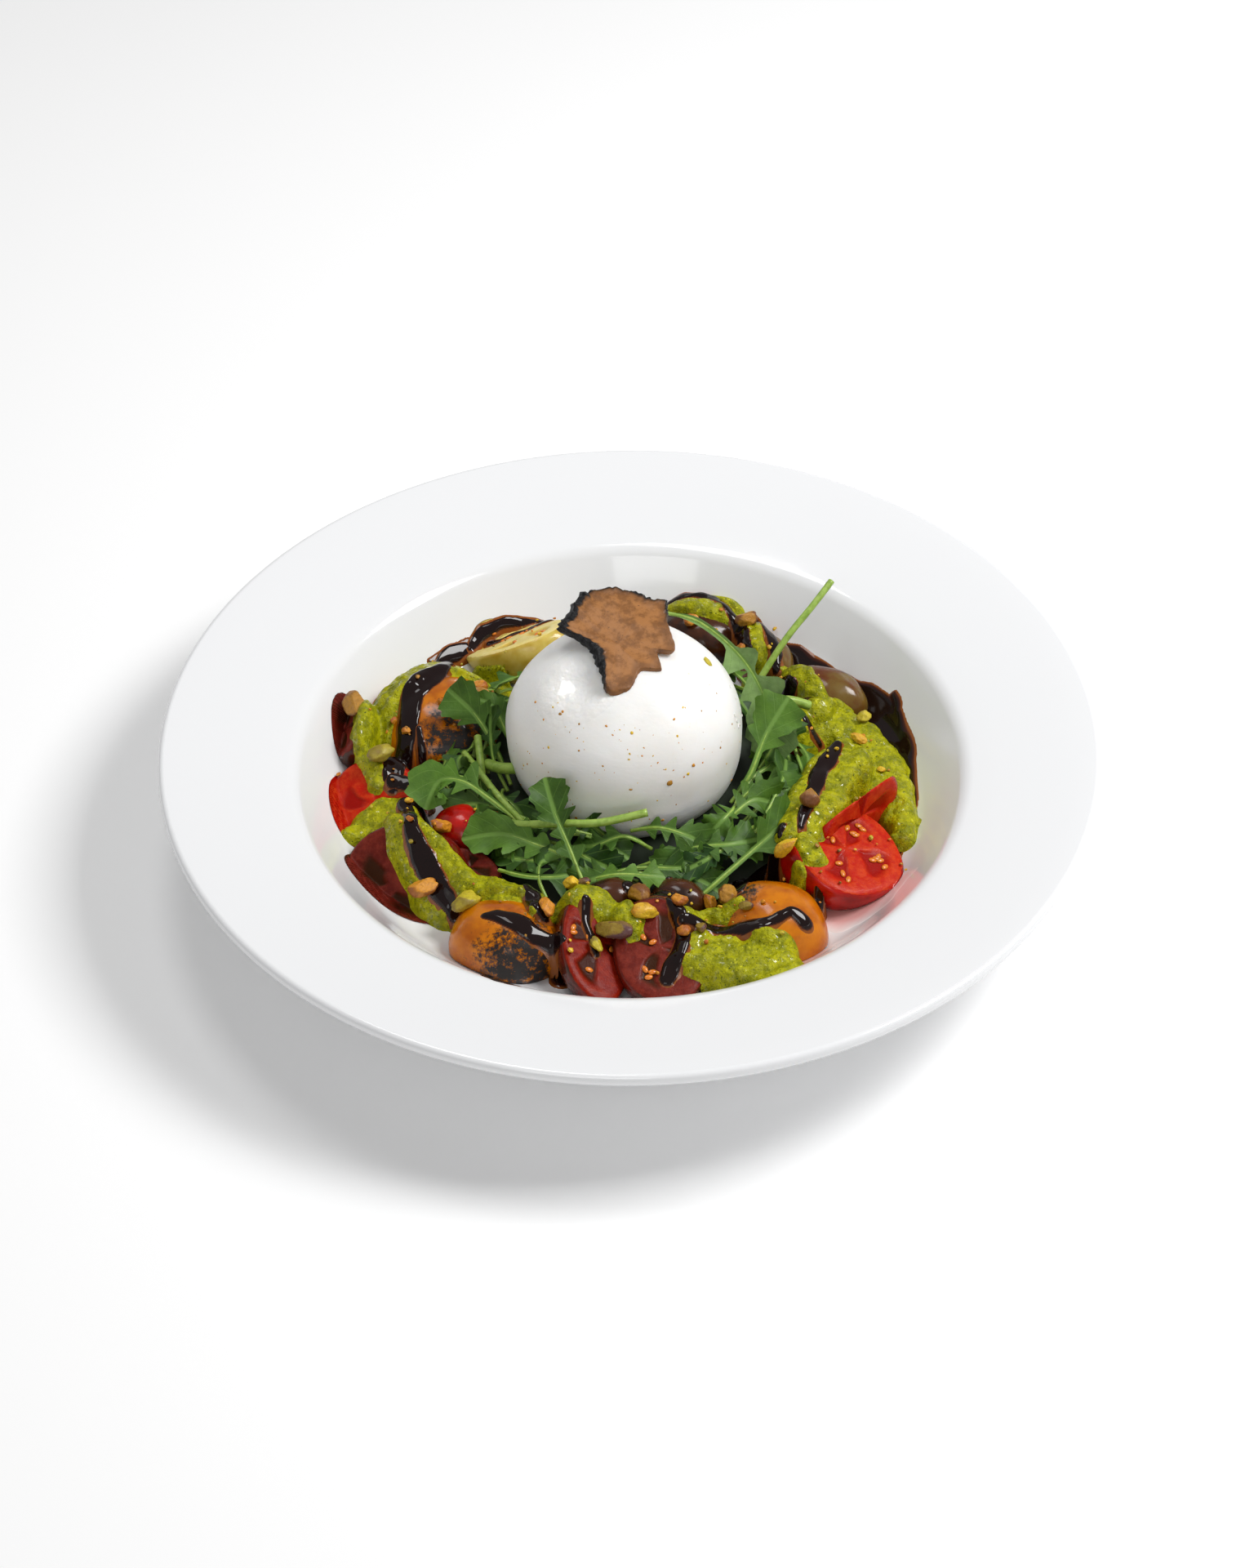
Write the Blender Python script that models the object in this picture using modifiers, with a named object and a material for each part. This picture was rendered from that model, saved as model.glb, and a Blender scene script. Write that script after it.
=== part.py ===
"""Burrata salad in a wide-rimmed plate, with its tomatoes, rocket, pesto, pistachios and truffle.

Sizes in the tables are millimetres, and the objects are built in metres. +Z is up and -Y is the
front. The origin is on the table, under the middle of the plate.
"""

import math
from collections import namedtuple

import bmesh
import bpy
from mathutils import Matrix, Vector, noise
from mathutils.bvhtree import BVHTree

MM = 0.001
# Clearance left between pieces, and how far a sharp corner may outgrow it.
GAP = 0.35
CORNER_LIMIT = 1.6
# Points closer than this are joined after a cut, and faces this nearly level are merged.
WELD = 0.002
CUT_WELD = 0.01
FLAT_ENOUGH = math.radians(1.5)
SHARP_ANGLE = math.radians(40.0)
# A height above everything, from which the surface below is looked for.
SKY = 120.0

# Plate: corners of the turned profile as (radius, height, corner radius), from the middle of the
# floor out over the rim, then back underneath to the middle of the base.
PLATE_SEGMENTS = 32
RIM_RADIUS = 140.3
FLOOR_TOP = 10.0
PLATE_CORNERS = (
    (0.0, FLOOR_TOP, 0.0),
    (83.0, FLOOR_TOP, 20.0),
    (100.0, 31.5, 7.0),
    (RIM_RADIUS - 0.6, 41.5, 1.6),
    (RIM_RADIUS, 37.4, 2.0),
    (101.5, 26.6, 8.0),
    (84.0, 4.2, 9.0),
    (69.5, 4.0, 1.5),
    (68.0, 0.0, 0.9),
    (62.5, 0.0, 0.9),
    (61.5, 4.6, 1.2),
    (0.0, 4.8, 0.0),
)
CORNER_STEP = math.radians(50.0)
SEAM_WELD = 0.00001

# Burrata: a round cushion, domed above its widest level and steep-sided below it.
BURRATA_CENTRE = (-1.5, 10.0, 36.0)
BURRATA_RADIUS = 35.0
BURRATA_TOP = 28.5
BURRATA_BOTTOM = 24.0
DOME_POWER = 2.05
BASE_POWER = 3.6
DENT_CENTRE = (-11.0, -3.0)
DENT_RADIUS = 9.0
DENT_DEPTH = 3.6
KNOT_CENTRE = (-3.0, 7.0)
KNOT_RADIUS = 6.5
KNOT_HEIGHT = 2.6
BURRATA_SEGMENTS = 26
BURRATA_LEVELS = 13

# Truffle slice: its outline seen square on, right and away from its middle.
TRUFFLE_CENTRE = (-3.0, 10.5, 67.2)
TRUFFLE_TILT = 14.0
TRUFFLE_THICKNESS = 2.6
TRUFFLE_SAG = 0.0028
TRUFFLE_RINGS = (1.0, 0.55)
TRUFFLE_OUTLINE = (
    (-9, 20), (-2, 21), (4, 20), (9, 17), (14, 16), (14, 9), (16, -1), (11, -2), (12, -8),
    (6, -9), (3, -15), (-3, -16), (-6, -4), (-11, 3), (-16, 6), (-14, 12),
)

# Rocket bed: a low heap round the burrata, higher where leaves stand up behind its right side.
ROCKET_SPOKES = 26
ROCKET_RINGS = (0.62, 0.76, 0.88, 1.0)
ROCKET_REACH = 50.0
ROCKET_EDGE_TOP = 14.5
ROCKET_INNER_TOP = 25.0
ROCKET_UPRIGHT = 9.0
ROCKET_RIPPLE = 5.0
ROCKET_UPRIGHT_ANGLE = 25.0
ROCKET_UPRIGHT_SPREAD = 0.75
ROCKET_SLOPE_SHARE = 0.30
ROCKET_SLOPE_POWER = 0.8
ROCKET_RIPPLE_RATE = 5.2
ROCKET_EDGE_RATE = 3.1
ROCKET_EDGE_CHANGE = 0.16
ROCKET_FRONT_REACH = 0.06
ROCKET_UNDERSIDE = FLOOR_TOP - 1.0

# Cut tomatoes: middle, half sizes, turn about Z and the cuts, each a direction and how far from the
# middle it lies. What is on the far side of a cut is removed.
Tomato = namedtuple("Tomato", "name finish centre half turn cuts")
TOMATOES = (
    Tomato("tomato_orange_left", "orange", (-59, 33, 12.5), (21, 22, 17), 20, ()),
    Tomato("tomato_orange_front", "orange", (-36, -61, 13.5), (17.5, 14, 13), -16, ()),
    Tomato("tomato_orange_right", "orange", (41, -56, 14), (16.5, 15, 13.5), -25, ()),
    Tomato("tomato_yellow", "yellow", (-34, 68, 16), (19.5, 13, 12), -14, (((-0.35, 0.45, 0.85), 3.0),)),
    Tomato("tomato_red_right", "red", (62, -30, 18.5), (19, 17, 15), -20, (((0.30, -0.16, 0.94), 4.5),)),
    Tomato("tomato_red_left", "red", (-76, -4, 15), (15, 19, 13), 10, (((-0.28, -0.30, 0.91), 3.5),)),
    Tomato("tomato_red_inner", "red", (-50, -16, 16), (9.5, 9, 9), 0, ()),
    Tomato("tomato_red_behind", "red", (49, 25, 17), (6, 9, 8), 0, ()),
    Tomato("tomato_red_sliver", "red", (67, -16, 23), (17, 7, 13), 44,
           (((-0.62, 0.62, 0.48), 2.0), ((0.70, -0.70, 0.0), 2.5))),
    Tomato("tomato_plum_left", "plum", (-66, -34, 15), (20, 18, 14), -38, (((-0.38, -0.58, 0.72), 2.0),)),
    Tomato("tomato_plum_front", "plum", (8, -68, 17), (14, 19, 13), 12, (((0.10, -0.34, 0.93), 4.0),)),
    Tomato("tomato_wedge_front", "plum", (-11, -67, 18), (11, 20, 13), 8, (((0.42, -0.24, 0.87), 3.5),)),
    Tomato("tomato_dark_left", "plum", (-85, 25, 20), (7, 13, 10), 8, (((-0.80, 0.0, 0.60), 2.5),)),
    Tomato("tomato_pale_inner", "plum", (-47, -32, 16), (9.5, 5.5, 6.5), -28, (((-0.1, -0.5, 0.86), 2.5),)),
    Tomato("tomato_roast_front_left", "roast", (-6, -46, 16.5), (10, 6.5, 7), 14, ()),
    Tomato("tomato_roast_front_right", "roast", (14, -46, 16), (9, 6.5, 7), -20, ()),
    Tomato("tomato_roast_right", "roast", (56, 34, 17), (7.5, 6.5, 6.5), 20, ()),
    Tomato("tomato_olive_right", "olive", (61, 46, 15), (14, 9.5, 9), -28, ()),
    Tomato("tomato_roast_back", "roast", (22, 75, 15), (14, 10, 9), -14, ()),
    Tomato("tomato_olive_back", "olive", (42, 64, 15), (12, 8.5, 8.5), -50, ()),
)
TOMATO_RIBS = 5
TOMATO_RIB_DEPTH = 0.025
TOMATO_SEGMENTS = 12
TOMATO_LEVELS = 7

# Pesto: each spoonful follows a spine of (x, y, half width) and is thickest along it.
Pesto = namedtuple("Pesto", "name thickness spine")
PESTO = (
    Pesto("pesto_left", 3.2,
          ((-75, 0, 4), (-77, 16, 6), (-73, 34, 8), (-62, 47, 9), (-47, 51, 9), (-36, 46, 5))),
    Pesto("pesto_front_left", 3.6,
          ((-79, -20, 3), (-69, -15, 9), (-60, -26, 8), (-55, -39, 8), (-44, -47, 7), (-29, -50, 5))),
    Pesto("pesto_front", 3.2, ((-24, -57, 3), (-17, -52, 5), (-7, -53, 7), (1, -59, 5), (4, -65, 3))),
    Pesto("pesto_front_right", 4.0, ((15, -69, 4), (23, -70, 9), (33, -71, 10), (43, -70, 7), (48, -68, 4))),
    Pesto("pesto_right", 7.0, ((48, -30, 4), (51, -21, 9), (57, -11, 13), (63, 0, 10), (66, 8, 4))),
    Pesto("pesto_right_outer", 5.0,
          ((55, 37, 4), (62, 31, 8), (70, 19, 10), (76, 5, 9), (80, -8, 6), (80, -20, 3))),
    Pesto("pesto_right_small", 3.0, ((43, 53, 3), (50, 50, 5.5), (58, 44, 4))),
    Pesto("pesto_back", 3.6, ((12, 82, 4), (20, 79, 8), (31, 74, 9), (40, 67, 6), (45, 60, 3))),
)
PESTO_SPAN = 5.5
PESTO_ROWS = 3
PESTO_ROOT = 2.5
PESTO_SPREAD = 1.8
PESTO_ROUNDNESS = 0.85
PESTO_FEWEST_STEPS = 5

# Pistachios large enough to be pieces of their own: place, half sizes and turn.
Nut = namedtuple("Nut", "x y half turn")
NUTS = (
    Nut(-84, 30, (4.0, 5.5, 2.6), 20),
    Nut(-75, 8, (5.0, 3.0, 2.6), 35),
    Nut(-46, 32, (5.5, 4.2, 2.8), -30),
    Nut(-61, -4, (5.5, 2.4, 2.2), 20),
    Nut(-56, -23, (3.8, 3.2, 2.6), 15),
    Nut(-61, -43, (4.6, 3.4, 2.4), 5),
    Nut(-48, -51, (5.2, 4.2, 2.8), 40),
    Nut(-24, -59, (3.6, 3.0, 2.2), 75),
    Nut(-5, -66, (6.2, 3.4, 2.4), -24),
    Nut(4, -61, (4.2, 2.8, 2.2), 12),
    Nut(2, -50, (3.6, 4.2, 2.8), 30),
    Nut(28, -42, (4.2, 3.0, 2.2), -8),
    Nut(28, -51, (3.0, 3.8, 2.6), 10),
    Nut(45, 3, (3.8, 3.2, 2.4), 20),
    Nut(53, -20, (3.4, 3.6, 3.0), 0),
    Nut(46, -35, (4.8, 2.8, 2.4), 28),
    Nut(37, 70, (3.6, 3.2, 2.6), 0),
)
NUT_PROBES = 6
NUT_SEGMENTS = 7
NUT_LEVELS = 5

FINISHES = {
    "porcelain": ((0.88, 0.88, 0.88), 0.15),
    "burrata": ((0.90, 0.88, 0.83), 0.35),
    "truffle": ((0.25, 0.14, 0.08), 0.55),
    "rocket": ((0.08, 0.20, 0.04), 0.45),
    "pesto": ((0.33, 0.38, 0.03), 0.40),
    "pistachio": ((0.55, 0.38, 0.06), 0.60),
    "orange": ((0.65, 0.25, 0.02), 0.20),
    "yellow": ((0.65, 0.50, 0.16), 0.25),
    "red": ((0.55, 0.04, 0.02), 0.20),
    "plum": ((0.25, 0.05, 0.04), 0.25),
    "roast": ((0.14, 0.05, 0.02), 0.20),
    "olive": ((0.22, 0.18, 0.06), 0.20),
}


def clear_scene():
    """Remove everything that the new file starts with."""
    for thing in list(bpy.data.objects):
        bpy.data.objects.remove(thing)


def new_collection(name):
    group = bpy.data.collections.new(name)
    bpy.context.scene.collection.children.link(group)
    return group


def finish(name):
    """The material of that name, made the first time that it is asked for."""
    made = bpy.data.materials.get(name)
    if made is None:
        colour, roughness = FINISHES[name]
        made = bpy.data.materials.new(name)
        made.use_nodes = True
        surface = made.node_tree.nodes["Principled BSDF"]
        surface.inputs["Base Color"].default_value = (*colour, 1.0)
        surface.inputs["Roughness"].default_value = roughness
        surface.inputs["Metallic"].default_value = 0.0
    return made


def mesh_from(form, name):
    """Turn a bmesh in millimetres into a mesh of triangles in metres."""
    bmesh.ops.triangulate(form, faces=form.faces)
    bmesh.ops.recalc_face_normals(form, faces=form.faces)
    bmesh.ops.transform(form, matrix=Matrix.Scale(MM, 4), verts=form.verts)
    mesh = bpy.data.meshes.new(name)
    form.to_mesh(mesh)
    form.free()
    return mesh


def add_piece(form, name, finish_name, group):
    """A piece of the dish, shaded smooth over its round parts."""
    mesh = mesh_from(form, name)
    mesh.shade_smooth()
    mesh.set_sharp_from_angle(angle=SHARP_ANGLE)
    mesh.materials.append(finish(finish_name))
    piece = bpy.data.objects.new(name, mesh)
    group.objects.link(piece)
    return piece


def add_guard(form, name, group):
    """A cutter that keeps later pieces clear of the one that it is named for."""
    guard = bpy.data.objects.new(f"{name}_guard", mesh_from(form, f"{name}_guard"))
    guard.hide_render = True
    guard.display_type = "WIRE"
    group.objects.link(guard)
    return guard


def swollen(form):
    """A copy of a form, grown by the gap on every side."""
    bmesh.ops.triangulate(form, faces=form.faces)
    grown = form.copy()
    bmesh.ops.recalc_face_normals(grown, faces=grown.faces)
    grown.normal_update()
    moves = [vert.normal * min(vert.calc_shell_factor(), CORNER_LIMIT) * GAP for vert in grown.verts]
    for vert, move in zip(grown.verts, moves):
        vert.co += move
    return grown


def evaluated_mesh(piece):
    """A new mesh of the piece with its modifiers applied."""
    bpy.context.view_layer.update()
    depsgraph = bpy.context.evaluated_depsgraph_get()
    return bpy.data.meshes.new_from_object(piece.evaluated_get(depsgraph), depsgraph=depsgraph)


def surface_tree(piece):
    """A search tree of the piece's surface, in metres."""
    mesh = evaluated_mesh(piece)
    form = bmesh.new()
    form.from_mesh(mesh)
    tree = BVHTree.FromBMesh(form)
    form.free()
    bpy.data.meshes.remove(mesh)
    return tree


def height_at(trees, x, y):
    """The highest surface under a point, in millimetres."""
    start = Vector((x, y, SKY)) * MM
    hits = (tree.ray_cast(start, Vector((0, 0, -1)))[0] for tree in trees)
    return max(hit.z / MM for hit in hits if hit is not None)


def widest_height_at(trees, x, y, reach):
    """The highest surface within a short reach of a point."""
    around = ((0, 0), (reach, 0), (-reach, 0), (0, reach), (0, -reach))
    return max(height_at(trees, x + dx, y + dy) for dx, dy in around)


def box_of(piece):
    corners = [Vector(corner) for corner in piece.bound_box]
    low = [min(corner[axis] for corner in corners) for axis in range(3)]
    high = [max(corner[axis] for corner in corners) for axis in range(3)]
    return low, high


def boxes_meet(first, second):
    (low_a, high_a), (low_b, high_b) = box_of(first), box_of(second)
    return all(low_a[axis] < high_b[axis] and low_b[axis] < high_a[axis] for axis in range(3))


def volume_of(body):
    """The volume inside a set of faces, as a fan of tetrahedra from the origin."""
    volume = 0.0
    for face in body:
        first, *rest = (vert.co for vert in face.verts)
        for second, third in zip(rest, rest[1:]):
            volume += first.dot(second.cross(third)) / 6
    return volume


def keep_largest_body(form):
    """Drop every loose body but the largest."""
    unseen = set(form.faces)
    bodies = []
    while unseen:
        body, fringe = set(), [unseen.pop()]
        while fringe:
            face = fringe.pop()
            body.add(face)
            near = {other for edge in face.edges for other in edge.link_faces} & unseen
            unseen -= near
            fringe.extend(near)
        bodies.append(body)
    bodies.sort(key=volume_of)
    crumbs = [face for body in bodies[:-1] for face in body]
    bmesh.ops.delete(form, geom=crumbs, context="FACES")


def fit_between(piece, guards, merge_flats):
    """Cut a piece back so that it clears every piece whose guard it reaches."""
    for guard in guards:
        if boxes_meet(piece, guard):
            cut = piece.modifiers.new(guard.name, "BOOLEAN")
            cut.operation = "DIFFERENCE"
            cut.solver = "EXACT"
            cut.object = guard
    mesh = evaluated_mesh(piece)
    piece.modifiers.clear()
    form = bmesh.new()
    form.from_mesh(mesh)
    bmesh.ops.remove_doubles(form, verts=form.verts, dist=WELD * MM)
    keep_largest_body(form)
    if merge_flats:
        bmesh.ops.dissolve_limit(form, angle_limit=FLAT_ENOUGH, verts=form.verts, edges=form.edges)
    bmesh.ops.triangulate(form, faces=form.faces)
    form.to_mesh(mesh)
    form.free()
    piece.data = mesh


def rounded(corners):
    """The corners of a profile with an arc of its own radius at each."""
    points = []
    for index, (r, z, radius) in enumerate(corners):
        corner = Vector((r, z))
        if radius == 0.0:
            points.append(corner)
            continue
        before = (Vector(corners[index - 1][:2]) - corner).normalized()
        after = (Vector(corners[index + 1][:2]) - corner).normalized()
        half = before.angle(after) / 2
        middle = corner + (before + after).normalized() * radius / math.sin(half)
        start = corner + before * radius / math.tan(half) - middle
        sweep = math.pi - 2 * half
        if before.x * after.y - before.y * after.x > 0:
            sweep = -sweep
        steps = math.ceil(abs(sweep) / CORNER_STEP)
        for step in range(steps + 1):
            angle = sweep * step / steps
            turned = Matrix.Rotation(angle, 2) @ start
            points.append(middle + turned)
    return points


def make_plate(group):
    """The plate, a profile turned about Z."""
    points = rounded(PLATE_CORNERS)
    mesh = bpy.data.meshes.new("plate")
    verts = [(point.x * MM, 0.0, point.y * MM) for point in points]
    edges = [(index, index + 1) for index in range(len(points) - 1)]
    mesh.from_pydata(verts, edges, [])
    mesh.materials.append(finish("porcelain"))
    plate = bpy.data.objects.new("plate", mesh)
    group.objects.link(plate)
    turn = plate.modifiers.new("turn", "SCREW")
    turn.steps = PLATE_SEGMENTS
    turn.render_steps = PLATE_SEGMENTS
    turn.use_merge_vertices = True
    turn.merge_threshold = SEAM_WELD
    return plate


def form_of(piece):
    """The piece's evaluated shape, back in millimetres."""
    mesh = evaluated_mesh(piece)
    form = bmesh.new()
    form.from_mesh(mesh)
    bpy.data.meshes.remove(mesh)
    bmesh.ops.transform(form, matrix=Matrix.Scale(1 / MM, 4), verts=form.verts)
    return form


def bump(distance, radius):
    """A smooth hill, 1 in its middle and 0 beyond about twice its radius."""
    return math.exp(-((distance / radius) ** 2))


def burrata_surface(direction):
    """Where the burrata's skin lies along a unit direction from its middle."""
    flat = math.hypot(direction.x, direction.y)
    lift = abs(direction.z)
    upper = direction.z >= 0
    power = DOME_POWER if upper else BASE_POWER
    tall = BURRATA_TOP if upper else BURRATA_BOTTOM
    scale = ((flat / BURRATA_RADIUS) ** power + (lift / tall) ** power) ** (-1 / power)
    point = direction * scale
    if upper:
        dent = math.hypot(point.x - DENT_CENTRE[0], point.y - DENT_CENTRE[1])
        knot = math.hypot(point.x - KNOT_CENTRE[0], point.y - KNOT_CENTRE[1])
        point.z -= DENT_DEPTH * bump(dent, DENT_RADIUS) * lift
        point.z += KNOT_HEIGHT * bump(knot, KNOT_RADIUS) * lift
    return point + Vector(BURRATA_CENTRE)


def burrata_form():
    form = bmesh.new()
    bmesh.ops.create_uvsphere(form, u_segments=BURRATA_SEGMENTS, v_segments=BURRATA_LEVELS, radius=1.0)
    for vert in form.verts:
        vert.co = burrata_surface(vert.co.normalized())
    return form


def closed_curve(points, steps):
    """A smooth closed curve through the points, with some steps between each two."""
    count = len(points)
    curve = []
    for index in range(count):
        a, b, c, d = (Vector(points[(index + shift) % count]) for shift in (-1, 0, 1, 2))
        for step in range(steps):
            t = step / steps
            curve.append(catmull_rom(a, b, c, d, t))
    return curve


def open_curve(points, steps):
    """A smooth open curve through the points, with about so many steps in all."""
    ends = [points[0], *points, points[-1]]
    spans = len(points) - 1
    curve = []
    for step in range(steps + 1):
        place = min(step / steps * spans, spans - 1e-6)
        index = int(place)
        a, b, c, d = (Vector(ends[index + shift]) for shift in range(4))
        curve.append(catmull_rom(a, b, c, d, place - index))
    return curve


def catmull_rom(a, b, c, d, t):
    return 0.5 * (2 * b + (c - a) * t + (2 * a - 5 * b + 4 * c - d) * t**2
                  + (3 * b - a - 3 * c + d) * t**3)


def truffle_form():
    """A thin slice that sags over the burrata, with its outline filled and thickened."""
    outline = closed_curve(TRUFFLE_OUTLINE, 1)
    form = bmesh.new()
    rings = []
    for share in TRUFFLE_RINGS:
        rings.append([form.verts.new((*(point * share), 0.0)) for point in outline])
    middle = form.verts.new((0.0, 0.0, 0.0))
    outer, inner = rings
    for index in range(len(outline)):
        after = (index + 1) % len(outline)
        form.faces.new((outer[index], outer[after], inner[after], inner[index]))
        form.faces.new((inner[index], inner[after], middle))
    top_faces = list(form.faces)
    lower = bmesh.ops.duplicate(form, geom=form.verts[:] + form.edges[:] + top_faces)
    lower_verts = [item for item in lower["geom"] if isinstance(item, bmesh.types.BMVert)]
    lower_faces = [item for item in lower["geom"] if isinstance(item, bmesh.types.BMFace)]
    bmesh.ops.translate(form, vec=(0, 0, -TRUFFLE_THICKNESS), verts=lower_verts)
    bmesh.ops.reverse_faces(form, faces=lower_faces)
    rims = [edge for edge in form.edges if edge.is_boundary]
    bmesh.ops.bridge_loops(form, edges=rims)
    for vert in form.verts:
        vert.co.z -= TRUFFLE_SAG * vert.co.xy.length_squared
    tilt = Matrix.Rotation(math.radians(TRUFFLE_TILT), 4, "X")
    bmesh.ops.transform(form, matrix=Matrix.Translation(TRUFFLE_CENTRE) @ tilt, verts=form.verts)
    return form


def tomato_form(tomato, spare):
    """A faintly ribbed egg shape with its cuts made flat, grown by a little to spare."""
    form = bmesh.new()
    bmesh.ops.create_uvsphere(form, u_segments=TOMATO_SEGMENTS, v_segments=TOMATO_LEVELS, radius=1.0)
    for vert in form.verts:
        around = math.atan2(vert.co.y, vert.co.x)
        rib = 1.0 + TOMATO_RIB_DEPTH * math.cos(TOMATO_RIBS * around) * (1 - vert.co.z**2)
        vert.co *= rib
    size = Matrix.Diagonal((*(half + spare for half in tomato.half), 1.0))
    turn = Matrix.Rotation(math.radians(tomato.turn), 4, "Z")
    place = Matrix.Translation(tomato.centre) @ turn @ size
    bmesh.ops.transform(form, matrix=place, verts=form.verts)
    for direction, offset in tomato.cuts:
        normal = Vector(direction).normalized()
        point = Vector(tomato.centre) + normal * (offset + spare)
        everything = form.verts[:] + form.edges[:] + form.faces[:]
        bmesh.ops.bisect_plane(form, geom=everything, plane_co=point, plane_no=normal,
                               clear_outer=True, dist=CUT_WELD)
        rim = [edge for edge in form.edges if edge.is_boundary]
        bmesh.ops.triangle_fill(form, edges=rim, use_beauty=True)
    return form


def rocket_top(angle, share):
    """How high the heap of leaves is along one spoke, at a share of its reach."""
    away = math.remainder(angle - math.radians(ROCKET_UPRIGHT_ANGLE), math.tau)
    inner = ROCKET_INNER_TOP + ROCKET_UPRIGHT * bump(away, ROCKET_UPRIGHT_SPREAD)
    slope = min(1.0, max(0.0, (1.0 - share) / ROCKET_SLOPE_SHARE)) ** ROCKET_SLOPE_POWER
    spot = Vector((math.cos(angle), math.sin(angle), share))
    ripple = ROCKET_RIPPLE * noise.noise(spot * ROCKET_RIPPLE_RATE)
    return ROCKET_EDGE_TOP + (inner - ROCKET_EDGE_TOP) * slope + ripple


def rocket_form():
    """The heap of rocket leaves, a lumpy disc that the burrata presses into."""
    form = bmesh.new()
    middle_x, middle_y, _ = BURRATA_CENTRE
    top_rings, bottom_rings = [], []
    for share in ROCKET_RINGS:
        top, bottom = [], []
        for spoke in range(ROCKET_SPOKES):
            angle = math.tau * spoke / ROCKET_SPOKES
            leafy = noise.noise(Vector((math.cos(angle), math.sin(angle), 0.0)) * ROCKET_EDGE_RATE)
            change = ROCKET_EDGE_CHANGE * leafy - ROCKET_FRONT_REACH * math.sin(angle)
            reach = ROCKET_REACH * (1.0 + change)
            x = middle_x + reach * share * math.cos(angle)
            y = middle_y + reach * share * math.sin(angle)
            top.append(form.verts.new((x, y, rocket_top(angle, share))))
            bottom.append(form.verts.new((x, y, ROCKET_UNDERSIDE)))
        top_rings.append(top)
        bottom_rings.append(bottom)
    for rings, height in ((top_rings, ROCKET_INNER_TOP), (bottom_rings, ROCKET_UNDERSIDE)):
        middle = form.verts.new((middle_x, middle_y, height))
        for spoke in range(ROCKET_SPOKES):
            after = (spoke + 1) % ROCKET_SPOKES
            form.faces.new((rings[0][spoke], rings[0][after], middle))
            for inner, outer in zip(rings, rings[1:]):
                form.faces.new((inner[spoke], outer[spoke], outer[after], inner[after]))
    for spoke in range(ROCKET_SPOKES):
        after = (spoke + 1) % ROCKET_SPOKES
        form.faces.new((top_rings[-1][spoke], top_rings[-1][after],
                        bottom_rings[-1][after], bottom_rings[-1][spoke]))
    return form


def loft(form, sections):
    """A closed body through loops of equally many points, with a cap at each end."""
    loops = [[form.verts.new(point) for point in section] for section in sections]
    count = len(loops[0])
    for first, second in zip(loops, loops[1:]):
        for index in range(count):
            after = (index + 1) % count
            form.faces.new((first[index], first[after], second[after], second[index]))
    form.faces.new(loops[0])
    form.faces.new(reversed(loops[-1]))


def pesto_section(pesto, point, along, trees):
    """One loop across a spoonful: over its rounded top, and back inside what it lies on."""
    across = Vector((-along.y, along.x))
    top, bottom = [], []
    for row in range(PESTO_ROWS + 1):
        side = 2 * row / PESTO_ROWS - 1
        spot = point.xy + across * point.z * side
        ground = widest_height_at(trees, spot.x, spot.y, PESTO_SPREAD)
        dome = math.sqrt(1.0 - (PESTO_ROUNDNESS * side) ** 2)
        top.append((*spot, ground + pesto.thickness * dome))
        bottom.append((*spot, height_at(trees, spot.x, spot.y) - PESTO_ROOT))
    return top + bottom[::-1]


def pesto_form(pesto, trees):
    """A spoonful that follows what it lies on, rounded across and tapered at both ends."""
    length = sum((Vector(b) - Vector(a)).xy.length for a, b in zip(pesto.spine, pesto.spine[1:]))
    steps = max(PESTO_FEWEST_STEPS, round(length / PESTO_SPAN))
    spine = open_curve(pesto.spine, steps)
    sections = []
    for index, point in enumerate(spine):
        before, after = spine[max(index - 1, 0)], spine[min(index + 1, steps)]
        along = (after - before).xy.normalized()
        sections.append(pesto_section(pesto, point, along, trees))
    form = bmesh.new()
    loft(form, sections)
    return form


def nut_form(nut, trees):
    """A chopped pistachio, lying just clear of whatever is under it."""
    form = bmesh.new()
    bmesh.ops.create_uvsphere(form, u_segments=NUT_SEGMENTS, v_segments=NUT_LEVELS, radius=1.0)
    turn = Matrix.Rotation(math.radians(nut.turn), 4, "Z") @ Matrix.Diagonal((*nut.half, 1.0))
    bmesh.ops.transform(form, matrix=turn, verts=form.verts)
    lift = 0.0
    for across in range(-NUT_PROBES, NUT_PROBES + 1):
        for along in range(-NUT_PROBES, NUT_PROBES + 1):
            u, v = across / NUT_PROBES, along / NUT_PROBES
            under = turn @ Vector((u, v, -math.sqrt(max(0.0, 1.0 - u * u - v * v))))
            if u * u + v * v <= 1.0:
                lift = max(lift, height_at(trees, nut.x + under.x, nut.y + under.y) - under.z)
    bmesh.ops.translate(form, vec=(nut.x, nut.y, lift + GAP), verts=form.verts)
    return form


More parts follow.
